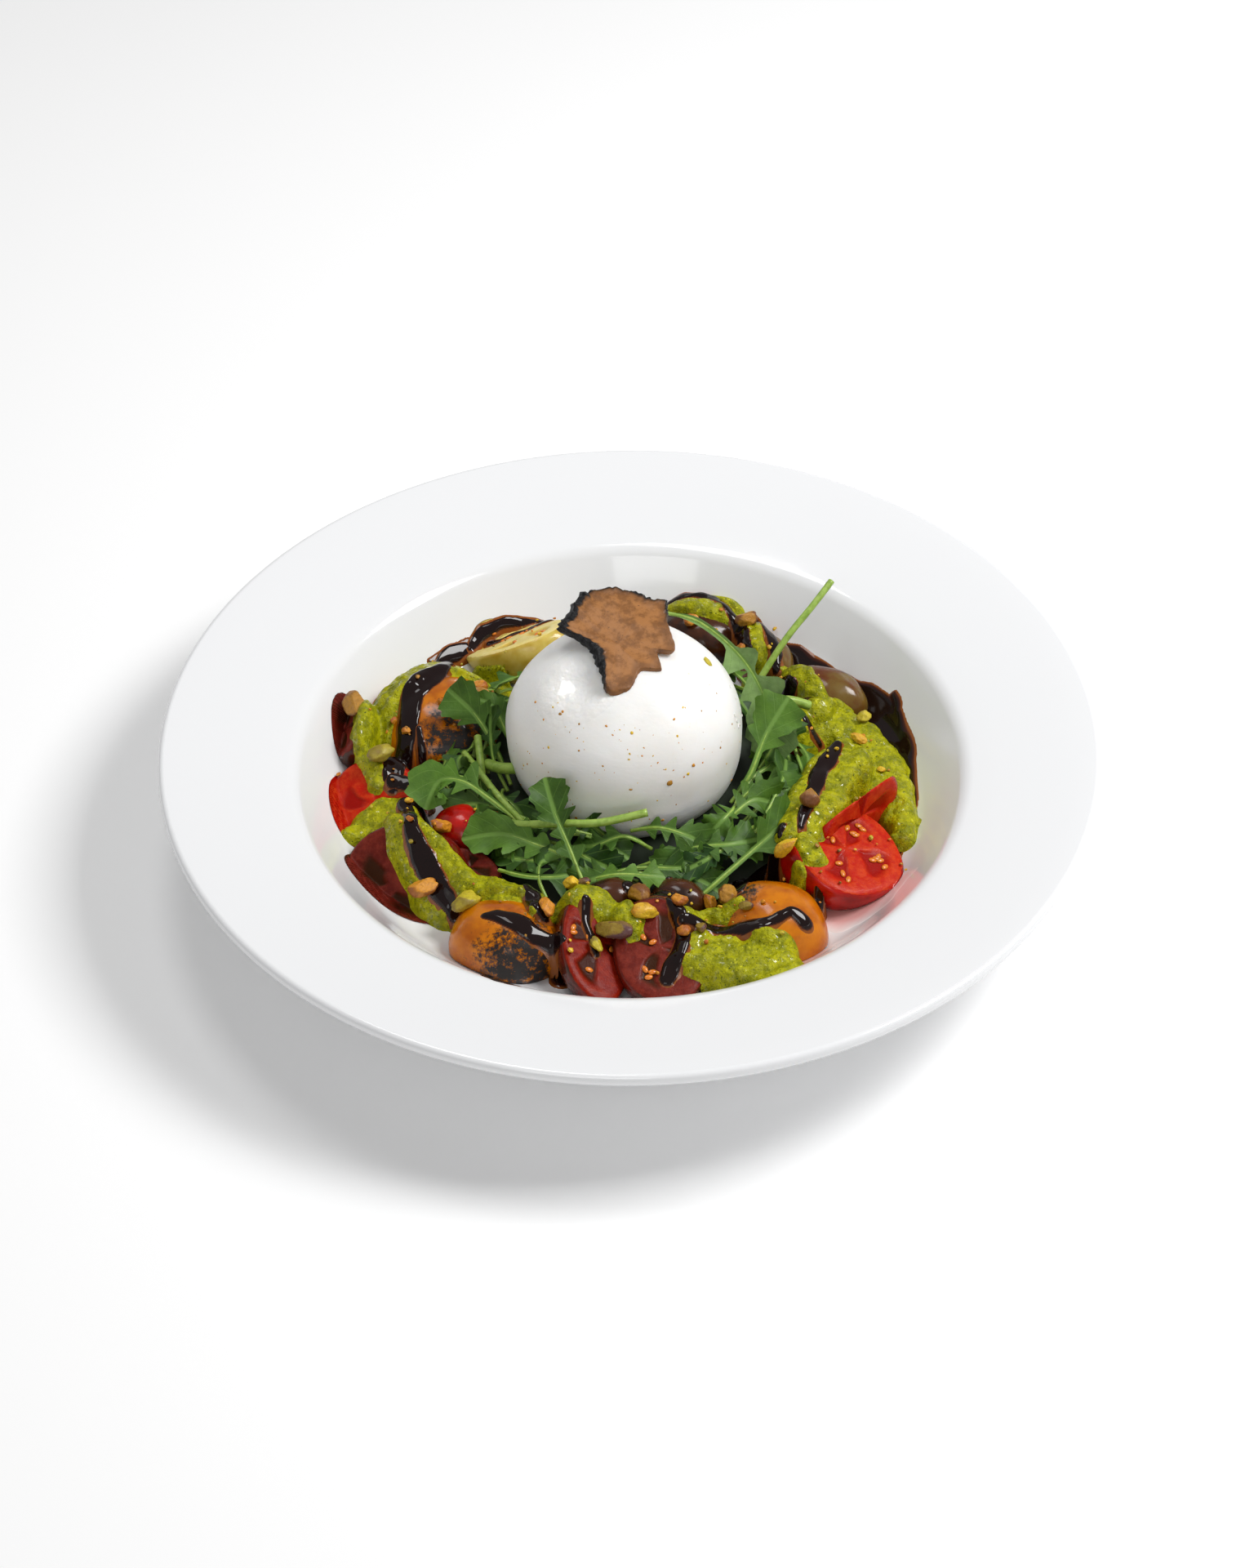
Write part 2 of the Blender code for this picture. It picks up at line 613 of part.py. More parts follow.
def build():
    clear_scene()
    dish = new_collection("burrata_salad")
    cutters = new_collection("cutters")

    plate = make_plate(dish)
    placed = [plate]
    guards = [add_guard(swollen(form_of(plate)), "plate", cutters)]

    def place(form, guard_form, name, finish_name, merge_flats=True):
        guard = add_guard(guard_form, name, cutters)
        piece = add_piece(form, name, finish_name, dish)
        fit_between(piece, guards, merge_flats)
        guards.append(guard)
        placed.append(piece)

    def place_swollen(form, name, finish_name, merge_flats=True):
        place(form, swollen(form), name, finish_name, merge_flats)

    place_swollen(burrata_form(), "burrata", "burrata")
    place_swollen(rocket_form(), "rocket_bed", "rocket", merge_flats=False)
    for tomato in TOMATOES:
        guard_form = tomato_form(tomato, GAP)
        place(tomato_form(tomato, 0.0), guard_form, tomato.name, tomato.finish)
    place_swollen(truffle_form(), "truffle_slice", "truffle")
    for pesto in PESTO:
        trees = [surface_tree(piece) for piece in placed]
        place_swollen(pesto_form(pesto, trees), pesto.name, "pesto")
    trees = [surface_tree(piece) for piece in placed]
    for index, nut in enumerate(NUTS):
        add_piece(nut_form(nut, trees), f"pistachio_{index + 1:02d}", "pistachio", dish)


build()
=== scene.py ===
"""Looks of the burrata salad: porcelain, cheese, truffle, rocket, tomatoes, pesto, glaze and nuts.

Tables and shapes are in millimetres in the frame's axes, and become metres when a mesh is made.
"""

import math
from collections import namedtuple

import bmesh
import bpy
import numpy as np
from mathutils import Matrix, Vector
from mathutils.bvhtree import BVHTree


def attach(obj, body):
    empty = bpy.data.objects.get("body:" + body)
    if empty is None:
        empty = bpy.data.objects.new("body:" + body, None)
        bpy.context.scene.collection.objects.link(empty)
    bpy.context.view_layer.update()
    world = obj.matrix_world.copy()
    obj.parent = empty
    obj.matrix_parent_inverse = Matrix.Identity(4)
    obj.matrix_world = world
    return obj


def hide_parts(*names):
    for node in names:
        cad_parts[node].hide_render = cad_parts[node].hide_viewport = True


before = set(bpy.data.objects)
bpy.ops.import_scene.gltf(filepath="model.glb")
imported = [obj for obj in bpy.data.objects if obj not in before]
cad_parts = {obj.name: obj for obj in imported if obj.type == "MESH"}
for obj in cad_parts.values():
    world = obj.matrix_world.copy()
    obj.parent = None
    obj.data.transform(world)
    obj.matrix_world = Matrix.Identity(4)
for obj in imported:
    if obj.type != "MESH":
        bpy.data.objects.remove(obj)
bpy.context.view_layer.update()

MM = 0.001
# Food that would sink into the plate is held this far above it.
PLATE_GAP = 0.25

# How each sauce runs; Ground.pour takes these values by name.
JUICE_FLOW = dict(height=0.15, edge=3.0, drape=0.4, blur=0.4, wobble=1.5, size=5.0, seed=61, rim=6.0)
POOL_FLOW = dict(height=0.9, edge=2.4, drape=0.4, blur=0.4, wobble=1.3, size=7.0, seed=62, rim=1.8)
PESTO_FLOW = dict(drape=1.6, blur=0.6, lumps=((0.6, 4.5), (0.42, 2.0), (0.24, 0.9)), wobble=1.0, size=4.0)
GLAZE_FLOW = dict(edge=1.6, drape=0.8, blur=1.1, wobble=0.35, size=3.0, rim=0.4)

# The first random seed of each kind of piece, and how finely a nut is made.
PESTO_SEED = 30
GLAZE_SEED = 70
NUT_SEED = 200
BITS_SEED = 300
TOMATO_SEED_SEED = 600
NUT_DETAIL = 4

# ---------------------------------------------------------------- sizes shared with the solids

PLATE_CORNERS = (
    (0.0, 10.0, 0.0),
    (83.0, 10.0, 20.0),
    (100.0, 31.5, 8.0),
    (139.7, 41.4, 1.6),
    (140.1, 37.4, 2.2),
    (101.5, 26.6, 9.0),
    (84.0, 4.2, 9.0),
    (69.5, 4.0, 1.5),
    (68.0, 0.0, 0.9),
    (62.5, 0.0, 0.9),
    (61.5, 4.6, 1.2),
    (0.0, 4.8, 0.0),
)

BURRATA_CENTRE = np.array((-1.5, 10.0, 36.0))
BURRATA_RADIUS = 35.0
BURRATA_TOP = 28.5
BURRATA_BOTTOM = 24.0
DOME_POWER = 2.05
BASE_POWER = 3.6
DENT_CENTRE = (-13.0, -9.0)
DENT_RADIUS = 8.0
DENT_DEPTH = 4.0
KNOT_CENTRE = (-4.0, 6.0)
KNOT_RADIUS = 6.5
KNOT_HEIGHT = 2.8

TRUFFLE_CENTRE = (-3.0, 10.5, 67.2)
TRUFFLE_TILT = 14.0
TRUFFLE_THICKNESS = 2.6
TRUFFLE_SAG = 0.0028
TRUFFLE_OUTLINE = (
    (-9, 20), (-2, 21), (4, 20), (9, 17), (14, 16), (14, 9), (16, -1), (11, -2), (12, -8),
    (6, -9), (3, -15), (-3, -16), (-6, -4), (-11, 3), (-16, 6), (-14, 12),
)

Tomato = namedtuple("Tomato", "name finish centre half turn cuts detail")
TOMATOES = (
    Tomato("tomato_orange_left", "orange", (-59, 33, 12.5), (21, 22, 17), 20, (), 6),
    Tomato("tomato_orange_front", "orange", (-36, -61, 13.5), (17.5, 14, 13), -16, (), 6),
    Tomato("tomato_orange_right", "orange", (41, -56, 14), (16.5, 15, 13.5), -25, (), 6),
    Tomato("tomato_yellow", "yellow", (-34, 69, 17.5), (19.5, 13, 13), -14,
           (((-0.35, 0.45, 0.85), 3.0),), 6),
    Tomato("tomato_red_right", "red", (62, -30, 18.5), (19, 17, 15), -20,
           (((0.30, -0.16, 0.94), 4.5),), 6),
    Tomato("tomato_red_left", "red", (-76, -4, 15), (15, 19, 13), 10,
           (((-0.28, -0.30, 0.91), 3.5),), 6),
    Tomato("tomato_red_inner", "red", (-50, -16, 16), (9.5, 9, 9), 0, (), 5),
    Tomato("tomato_red_behind", "red", (49, 25, 17), (6, 9, 8), 0, (), 5),
    Tomato("tomato_red_sliver", "red", (67, -16, 23), (17, 7, 13), 44,
           (((-0.62, 0.62, 0.48), 2.0), ((0.70, -0.70, 0.0), 2.5)), 6),
    Tomato("tomato_plum_left", "plum", (-66, -34, 15), (20, 18, 14), -38,
           (((-0.38, -0.58, 0.72), 2.0),), 6),
    Tomato("tomato_plum_front", "plum", (8, -68, 17), (14, 19, 13), 12,
           (((0.10, -0.34, 0.93), 4.0),), 6),
    Tomato("tomato_wedge_front", "plum", (-11, -67, 18), (11, 20, 13), 8,
           (((0.42, -0.24, 0.87), 3.5),), 6),
    Tomato("tomato_dark_left", "plum", (-85, 25, 20), (7, 13, 10), 8,
           (((-0.80, 0.0, 0.60), 2.5),), 5),
    Tomato("tomato_pale_inner", "plum", (-47, -32, 16), (9.5, 5.5, 6.5), -28,
           (((-0.1, -0.5, 0.86), 2.5),), 5),
    Tomato("tomato_roast_front_left", "roast", (-6, -46, 16.5), (10, 6.5, 7), 14, (), 5),
    Tomato("tomato_roast_front_right", "roast", (14, -46, 16), (9, 6.5, 7), -20, (), 5),
    Tomato("tomato_roast_right", "roast", (56, 34, 17), (7.5, 6.5, 6.5), 20, (), 5),
    Tomato("tomato_olive_right", "olive", (61, 46, 15), (14, 9.5, 9), -28, (), 6),
    Tomato("tomato_roast_back", "roast", (22, 75, 15), (14, 10, 9), -14, (), 5),
    Tomato("tomato_olive_back", "olive", (42, 64, 15), (12, 8.5, 8.5), -50, (), 5),
)
SEEDED = {"tomato_red_right": 16, "tomato_plum_front": 6, "tomato_wedge_front": 6, "tomato_yellow": 10}
TOMATO_RIBS = 5
TOMATO_RIB_DEPTH = 0.025

# ---------------------------------------------------------------- sauces

# Each spoonful of pesto is one or more strokes of (x, y, half width).
# It is at least as thick as "thin", and fills hollows up to its level.
Pesto = namedtuple("Pesto", "name stands_for thin level edge strokes")
PESTO = (
    Pesto("pesto_left", True, 2.8, 0, 3.0, (
        ((-76, 2, 3), (-79, 14, 4.2), (-78, 25, 5), (-74, 34, 5.5), (-66, 43, 6.5), (-58, 50, 7),
         (-50, 53, 7),
         (-42, 50, 6.5), (-37, 47, 5)),)),
    Pesto("pesto_front_left_low", False, 2.0, 21, 5.0, (((-48, -43, 4.5), (-40, -46, 6), (-32, -49, 5.5)),)),
    Pesto("pesto_front_left", True, 3.0, 0, 3.0, (
        ((-82, -15, 3.5), (-77, -12, 6), (-71, -12, 6), (-67, -18, 6), (-65, -28, 5.5), (-61, -37, 5.5),
         (-59, -43, 4.5), (-55, -49, 3)),
        ((-61, -26, 3.5), (-56, -35, 4.5), (-51, -41, 5), (-46, -43, 5), (-39, -46, 5), (-33, -48, 4.5),
         (-29, -51, 3.5)))),
    Pesto("pesto_front", True, 2.8, 0, 2.6, (
        ((-27, -59, 3), (-22, -52, 4.5), (-15, -53, 5), (-8, -56, 5.5), (-2, -61, 4.5), (1, -65, 3)),)),
    Pesto("pesto_front_small", False, 2.2, 23, 4.0, (((15, -60, 2.6), (22, -57, 4), (30, -56, 2.6)),)),
    Pesto("pesto_front_right", True, 2.8, 22, 4.5, (
        ((18, -72, 5.5), (25, -71, 9), (33, -73, 9), (40, -74, 7.5), (44, -74, 5)),)),
    Pesto("pesto_right_outer", True, 2.6, 20, 5.0, (
        ((53, 20, 3), (59, 28, 7), (67, 27, 9), (74, 14, 9.5), (77, 0, 8.5), (80, -10, 6),
         (81, -19, 3.5)),)),
    Pesto("pesto_right", True, 2.8, 29, 6.0, (
        ((46, -29, 4), (50, -23, 8.5), (54, -13, 10.5), (60, -3, 11), (65, 6, 9)),)),
    Pesto("pesto_right_small", True, 2.6, 0, 2.4,
          (((46, 51, 2.6), (50, 51, 3.8), (55, 43, 4.2), (59, 38, 2.4)),)),
    Pesto("pesto_back", True, 3.0, 0, 3.0, (
        ((13, 84, 3), (20, 82, 6), (27, 80, 6.5), (33, 78, 5), (38, 73, 4), (39, 62, 3.6), (40, 56, 2.6)),)),
    Pesto("pesto_dabs", False, 1.8, 0, 1.8,
          (((54, -37, 3.2), (52, -33, 3)), ((48, -40, 1.2), (49, -42, 1.0)))),
)

# Balsamic glaze: strokes of (x, y, half width) with their own height. One of them is painted shade.
Glaze = namedtuple("Glaze", "height path")
GLAZE = (
    Glaze(0.9, ((-56, 50, 1.8), (-59, 42, 2.8), (-63, 38, 4), (-66, 32, 3.6), (-67, 25, 3.2), (-68, 18, 3),
                (-70, 11, 3), (-71, 4, 3.4), (-71, -1, 2.6))),
    Glaze(0.7, ((-64, 20, 0.9), (-63, 14, 1.2), (-63, 6, 0.9), (-64, 0, 1.4))),
    Glaze(0.8, ((-71, 0, 2.4), (-66, -1, 2.2), (-61, 1, 1.4))),
    Glaze(0.7, ((-60, 61, 1.6), (-56, 66, 2.2), (-51, 69, 1.8))),
    Glaze(0.7, ((-50, 69, 1.2), (-48, 73, 1.5), (-45, 76, 1.5), (-40, 79, 1.3), (-33, 81, 1.1),
                (-27, 82, 0.8))),
    Glaze(0.7, ((-44, 72, 1.2), (-38, 74, 1.4), (-32, 76, 1.2), (-25, 78, 1.0), (-18, 79, 0.8))),
    Glaze(1.0, ((-61, -10, 1.6), (-67, -9, 2.4), (-66, -15, 2.0), (-65, -22, 2.1), (-64, -29, 2.4),
                (-61, -35, 3.0), (-58, -40, 3.1), (-55, -45, 2.5), (-52, -49, 1.5))),
    Glaze(0.9, ((-42, -61, 1.4), (-38, -62, 2.4), (-33, -64, 3.1), (-28, -67, 2.9), (-23, -68, 2.4),
                (-20, -70, 1.4))),
    Glaze(0.9, ((-29, -50, 2.4), (-28, -56, 2.4), (-25, -61, 1.5))),
    Glaze(0.8, ((-13, -58, 1.4), (-13, -63, 1.2), (-11, -68, 1.2), (-10, -72, 0.8))),
    Glaze(0.25, ((-42, -90, 0.4), (-37, -92.5, 1.0), (-31, -95, 0.4))),
    Glaze(0.9, ((13, 87, 1.0), (18, 88, 1.2), (23, 87, 1.3), (28, 84, 1.6), (32, 78, 1.8), (35, 71, 1.8),
                (36, 64, 1.7), (38, 57, 1.2))),
    Glaze(0.8, ((41, 76, 1.3), (44, 68, 1.9), (46, 60, 1.9), (46, 54, 1.4))),
    Glaze(0.8, ((43, 50, 1.8), (47, 47, 2.0), (51, 43, 1.2))),
    Glaze(0.7, ((47, 42, 0.8), (50, 34, 0.9), (52, 28, 0.9), (54, 24, 1.4), (58, 21, 1.1))),
    Glaze(1.0, ((62, 8, 2.0), (60, 2, 2.7), (57, -4, 2.7), (55, -11, 2.4), (53, -18, 2.0), (51, -25, 1.7),
                (50, -29, 1.2))),
    Glaze(0.8, ((44, -28, 1.8), (42, -33, 1.8), (43, -38, 1.2))),
    Glaze(1.0, ((12, -54, 2.4), (14, -61, 2.2), (15, -66, 2.2), (14, -71, 2.4), (12, -75, 2.7),
                (10, -79, 2.0))),
    Glaze(1.0, ((15, -62, 1.4), (22, -62, 1.8), (29, -64, 2.0), (35, -65, 2.3), (41, -64, 1.6),
                (46, -61, 1.6), (50, -63, 2.1))),
    Glaze(0.9, ((2, -36, 2.0), (8, -37, 2.4), (11, -41, 1.6))),
    Glaze(0.9, ((0, -46, 2.6), (6, -49, 2.8), (12, -51, 2.4))),
    # Dark glaze laid in a shaded gap under the front food: painted shade.
    Glaze(0.9, ((-26, -44, 2.6), (-19, -46, 3.0), (-13, -46, 2.0))),
    Glaze(0.7, ((55, -45, 1.3), (55, -48, 1.1))),
    Glaze(0.7, ((31, -49, 2.0), (33, -42, 2.4), (38, -37, 1.8))),
)
POOL_AND_SHADE = (
    ((39, 76, 4), (44, 70, 5), (52, 62, 6), (60, 53, 7), (68, 43, 8), (75, 34, 8), (79, 22, 7), (80, 10, 7),
     (81, -2, 6), (80, -14, 5), (78, -25, 3)),
    ((80, 31, 2.6), (82, 36, 1.6), (81.5, 40, 1.0)),
    ((-62, 62, 2), (-56, 66, 3), (-50, 70, 3)),
    # The last two strokes are dark glaze laid in the gaps under the front food, where there is only shade:
    # painted shade.
    ((-40, -44, 5), (-30, -46, 6), (-16, -48, 7), (0, -48, 6), (14, -48, 6), (28, -40, 6), (38, -30, 6),
     (44, -16, 5)),
    ((-20, -60, 4), (-20, -72, 4)),
)
JUICE = (((54, -44, 6), (66, -48, 7), (77, -38, 6)), ((44, -74, 5), (52, -68, 5)))

# ---------------------------------------------------------------- leaves

# Rocket leaves placed one by one: spine from stalk to tip, half width, way the blade faces, lobes.
Leaf = namedtuple("Leaf", "spine width face lobes bright")
LEAVES = (
    Leaf(((-14, -42, 20), (-18, -34, 27), (-22, -27, 34), (-25, -20, 42)), 6.5, (0.1, -0.9, 0.5), 3, 0.5),
    Leaf(((-6, -24, 20), (-10, -24, 25), (-13, -25, 30)), 6.0, (0, -0.7, 0.7), 0, 0.15),
    Leaf(((-33, -20, 24), (-42, -13, 27.5), (-50, -7, 29), (-57, -5, 27), (-61, -12, 22)), 8.5,
         (-0.2, -0.3, 0.9), 2, 0.7),
    Leaf(((-30, -19, 24), (-39, -15, 25), (-48, -12, 24), (-54, -14, 21)), 8.0, (0, -0.4, 0.9), 2, 0.3),
    Leaf(((-18, -25, 25), (-28, -24, 26), (-39, -24, 25), (-50, -22, 22)), 5.5, (0, -0.5, 0.85), 1, 0.5),
    Leaf(((-8, -38, 20), (-17, -35, 23), (-27, -31, 25), (-38, -26, 25), (-50, -25, 22)), 7.0,
         (0, -0.5, 0.85), 4, 0.8),
    Leaf(((-39, -35, 19), (-30, -40, 21), (-20, -40, 21), (-11, -36, 20)), 7.5, (0, -0.6, 0.8), 1, 0.25),
    Leaf(((-25, -46, 18), (-27, -41, 21), (-26, -36, 23), (-20, -34, 22)), 5.0, (-0.5, -0.5, 0.7), 2, 0.3),
    Leaf(((0, -25, 25), (8, -27, 28), (16, -29, 27), (24, -31, 23)), 6.5, (0, -0.5, 0.85), 3, 0.4),
    Leaf(((12, -31, 22), (21, -32, 25), (30, -31, 25), (38, -27, 23)), 7.5, (0, -0.45, 0.9), 3, 0.5),
    Leaf(((17, -49, 17), (26, -42, 21), (35, -34, 24), (44, -26, 27), (50, -18, 26)), 7.5,
         (0.35, -0.35, 0.87), 1, 0.55),
    Leaf(((30, -9, 21), (36, -3, 27), (41, 7, 34), (48, 16, 41)), 8.5, (-0.2, -0.75, 0.6), 1, 0.75),
    Leaf(((10, 48, 48), (21, 46, 46), (32, 36, 43), (39, 25, 39), (43, 14, 32), (44, 4, 24)), 9.5,
         (-0.45, -0.55, 0.7), 2, 1.7),
    Leaf(((34, -2, 19), (40, 4, 25), (45, 11, 30), (48, 18, 33)), 7.5, (0.4, -0.6, 0.65), 2, 0.3),
    Leaf(((24, -24, 21), (31, -19, 26), (37, -14, 27), (44, -12, 23)), 7.5, (0, -0.6, 0.8), 2, 0.5),
    Leaf(((-36, 2, 19), (-41, 12, 26), (-47, 20, 32), (-55, 27, 36)), 7.5, (-0.4, -0.6, 0.65), 1, 0.45),
    Leaf(((-37, -2, 20), (-41, 6, 25), (-42, 14, 29), (-42, 22, 33)), 6.0, (-0.7, -0.4, 0.5), 2, 0.2),
    Leaf(((-34, 8, 22), (-38, 18, 28), (-42, 24, 32), (-49, 27, 33)), 4.0, (0.3, -0.5, 0.8), 0, 0.6),
    Leaf(((5, -37, 19), (-2, -39, 21), (-10, -41, 21), (-18, -42, 18)), 6.0, (0, -0.5, 0.85), 2, 0.35),
    Leaf(((4, -42, 18), (12, -40, 21), (20, -41, 20), (27, -44, 17)), 5.5, (0, -0.5, 0.85), 2, 0.3),
    Leaf(((36, -24, 20), (42, -14, 25), (46, -4, 27), (47, 6, 25)), 6.0, (0.5, -0.4, 0.75), 2, 0.35),
    Leaf(((30, -14, 22), (36, -8, 25), (43, -6, 26), (50, -8, 24)), 6.0, (0, -0.6, 0.8), 3, 0.55),
    Leaf(((-44, 0, 24), (-50, -2, 26), (-56, 0, 27), (-62, 0, 25)), 4.0, (0, -0.4, 0.9), 1, 0.6),
)
# Bare stalks: route and radius at its start.
Stalk = namedtuple("Stalk", "path radius")
STALKS = (
    Stalk(((-42, -20, 25), (-32, -24, 27), (-20, -27, 30), (-9, -29, 32), (5, -28, 35)), 1.2),
    Stalk(((-50, 10, 25), (-45, -1, 27), (-39, -12, 27), (-32, -20, 24)), 1.0),
    Stalk(((-46, 15, 27), (-45, 6, 25.5), (-44, -3, 21)), 1.2),
    Stalk(((-43, 6, 24), (-39, 2, 26), (-34, 0, 27.5)), 1.7),
    Stalk(((40, 42, 25), (45, 47, 31), (50, 52, 36), (57, 59, 41), (63, 66, 45)), 1.05),
    Stalk(((43, 25, 31), (49, 27, 30), (55, 28, 27)), 1.5),
)
FILLER_LEAVES = 64

# ---------------------------------------------------------------- nuts

Nut = namedtuple("Nut", "x y half turn kind")
NUTS = (
    Nut(-84, 30, (4.0, 5.5, 2.6), 20, "brown"),
    Nut(-75, 8, (5.0, 3.0, 2.6), 35, "green"),
    Nut(-46, 32, (5.5, 4.2, 2.8), -30, "brown"),
    Nut(-61, -4, (5.5, 2.4, 2.2), 20, "orange"),
    Nut(-56, -23, (3.8, 3.2, 2.6), 15, "orange"),
    Nut(-61, -43, (4.6, 3.4, 2.4), 5, "toasted"),
    Nut(-48, -51, (5.2, 4.2, 2.8), 40, "green"),
    Nut(-24, -59, (3.6, 3.0, 2.2), 75, "orange"),
    Nut(-5, -66, (6.2, 3.4, 2.4), -24, "purple"),
    Nut(4, -61, (4.2, 2.8, 2.2), 12, "yellow"),
    Nut(2, -50, (3.6, 4.2, 2.8), 30, "brown"),
    Nut(28, -42, (4.2, 3.0, 2.2), -8, "yellow"),
    Nut(28, -51, (3.0, 3.8, 2.6), 10, "brown"),
    Nut(45, 3, (3.8, 3.2, 2.4), 20, "toasted"),
    Nut(53, -20, (3.4, 3.6, 3.0), 0, "brown"),
    Nut(46, -35, (4.8, 2.8, 2.4), 28, "yellow"),
    Nut(37, 70, (3.6, 3.2, 2.6), 0, "brown"),
)
SMALL_NUTS = (
    Nut(-68, 19, (1.6, 1.4, 1.0), 10, "orange"), Nut(-57, 28, (1.8, 1.4, 1.2), 60, "orange"),
    Nut(-46, 38, (2.8, 2.4, 2.0), 20, "orange"), Nut(-42, 27, (3.2, 2.2, 1.6), -30, "toasted"),
    Nut(-41, -14, (2.2, 2.6, 2.0), 20, "brown"), Nut(-17, -48, (2.8, 2.4, 1.8), 0, "yellow"),
    Nut(-10, -70, (2.0, 3.0, 1.4), 30, "green"), Nut(14, -56, (2.6, 2.4, 2.0), 0, "orange"),
    Nut(15, -66, (2.0, 2.0, 1.5), 0, "orange"), Nut(20, -65, (1.8, 1.9, 1.4), 40, "purple"),
    Nut(23, -50, (2.0, 3.2, 1.6), 10, "toasted"), Nut(33, -59, (2.2, 1.6, 1.2), 0, "purple"),
    Nut(20, 72, (3.2, 2.2, 1.8), 0, "orange"), Nut(72, 29, (2.6, 2.0, 1.8), 30, "green"),
    Nut(69, 10, (2.8, 2.0, 1.4), -20, "yellow"), Nut(-12, -38, (2.8, 1.6, 1.4), 10, "purple"),
    Nut(-14, -44, (2.6, 1.4, 1.2), 15, "purple"), Nut(-66, -10, (1.4, 1.2, 1.0), 0, "yellow"),
    Nut(-65, -25, (1.3, 1.1, 0.9), 0, "orange"), Nut(-72, 24, (1.3, 1.4, 1.0), 0, "orange"),
    Nut(-61, 7, (1.2, 1.4, 1.0), 0, "orange"), Nut(35, 60, (1.6, 1.4, 1.0), 0, "orange"),
    Nut(76, 6, (1.4, 1.2, 0.9), 0, "yellow"), Nut(-36, -33, (2.4, 1.2, 1.0), 10, "yellow"),
)
CRUMBS = 110

NUT_COLOURS = {
    "green": ((204, 186, 40), (140, 122, 24)),
    "yellow": ((238, 196, 36), (206, 146, 16)),
    "orange": ((216, 140, 20), (172, 92, 14)),
    "toasted": ((218, 146, 24), (156, 88, 16)),
    "brown": ((182, 128, 30), (118, 68, 18)),
    "purple": ((150, 124, 30), (84, 44, 44)),
    "curd": ((246, 244, 238), (240, 238, 230)),
}

# ---------------------------------------------------------------- values for the looks, lamps and camera

# Where a tomato is scorched: a middle and a reach.
CHAR = {
    "tomato_orange_left": ((-50, 17, 24), 13.0),
    "tomato_orange_front": ((-32, -72, 16), 13.0),
    "tomato_orange_right": ((31, -52, 24), 6.0),
}
FLOOR_GLOW = 0.05
WORLD_LIGHT = 0.34
# Soft boxes: where, how big, how bright, in metres and watts.
Lamp = namedtuple("Lamp", "name place aim width depth power")
LAMPS = (
    Lamp("key", (0.66, 0.06, 0.90), (0, 0, 0.03), 0.40, 0.40, 8.7),
    Lamp("overhead", (-0.16, 0.30, 1.05), (0, 0, 0.03), 0.28, 0.40, 2.0),
    Lamp("front", (-0.20, -1.10, 0.95), (0, 0, 0.03), 0.60, 0.40, 1.8),
)
VIEW_ELEVATION = 42.34
VIEW_DISTANCE = 1.1
VIEW_TARGET = Vector((-0.0009, -0.0046, 0.025))
VIEW_ROLL = -0.49
LENS = 84.4


# ---------------------------------------------------------------- small tools


def colour(red, green, blue):
    """A colour from its screen values of 0 to 255, as the linear values that shaders use."""
    values = np.array((red, green, blue)) / 255.0
    linear = np.where(values <= 0.04045, values / 12.92, ((values + 0.055) / 1.055) ** 2.4)
    return (*linear.tolist(), 1.0)


def curve_through(points, steps):
    """Points evenly spread in steps along a smooth curve through the given ones."""
    points = np.asarray(points, float)
    padded = np.vstack((points[0], points, points[-1]))
    spans = len(points) - 1
    place = np.minimum(np.linspace(0, spans, steps + 1), spans - 1e-9)
    index = place.astype(int)
    t = (place - index)[:, None]
    a, b, c, d = (padded[index + shift] for shift in range(4))
    return 0.5 * (2 * b + (c - a) * t + (2 * a - 5 * b + 4 * c - d) * t**2
                  + (3 * b - a - 3 * c + d) * t**3)


def closed_curve(points, steps):
    """A smooth closed curve through the points."""
    points = np.asarray(points, float)
    count = len(points)
    place = np.arange(count * steps) / steps
    index = place.astype(int)
    t = (place - index)[:, None]
    a, b, c, d = (points[(index + shift) % count] for shift in (-1, 0, 1, 2))
    return 0.5 * (2 * b + (c - a) * t + (2 * a - 5 * b + 4 * c - d) * t**2
                  + (3 * b - a - 3 * c + d) * t**3)


def smooth(low, high, value):
    """0 below low, 1 above high, and a smooth rise between them."""
    share = np.clip((value - low) / (high - low), 0.0, 1.0)
    return share * share * (3 - 2 * share)


def grain(points, size, seed=0):
    """Smooth random values from -1 to 1 with features of about the given size."""
    scaled = np.asarray(points, float) / size + seed * 17.31
    cell = np.floor(scaled).astype(np.int64)
    share = scaled - cell
    share = share * share * (3 - 2 * share)
    total = np.zeros(scaled.shape[:-1])
    for corner in np.ndindex(*(2,) * scaled.shape[-1]):
        spot = cell + np.array(corner)
        code = np.full(total.shape, seed * 7919 + 1, np.int64)
        for axis in range(scaled.shape[-1]):
            code = (code * 31 + spot[..., axis] * (73856093, 19349663, 83492791)[axis]) & 0x7FFFFFFF
        code = ((code ^ (code >> 13)) * 1274126177) & 0x7FFFFFFF
        value = ((code ^ (code >> 15)) & 0xFFFF) / 32767.5 - 1.0
        weight = np.prod(np.where(np.array(corner) == 1, share, 1 - share), axis=-1)
        total += value * weight
    return total


def turned(angles):
    """A rotation matrix from degrees about X, Y and Z."""
    return np.array(Matrix.Rotation(math.radians(angles[2]), 3, "Z")
                    @ Matrix.Rotation(math.radians(angles[1]), 3, "Y")
                    @ Matrix.Rotation(math.radians(angles[0]), 3, "X"))


balls = {}


def ball(detail):
    """The points and triangles of a unit sphere made of even triangles."""
    if detail not in balls:
        form = bmesh.new()
        bmesh.ops.create_icosphere(form, subdivisions=detail, radius=1.0)
        points = np.array([vert.co[:] for vert in form.verts])
        faces = np.array([[vert.index for vert in face.verts] for face in form.faces])
        form.free()
        balls[detail] = (points / np.linalg.norm(points, axis=1)[:, None], faces)
    return balls[detail]


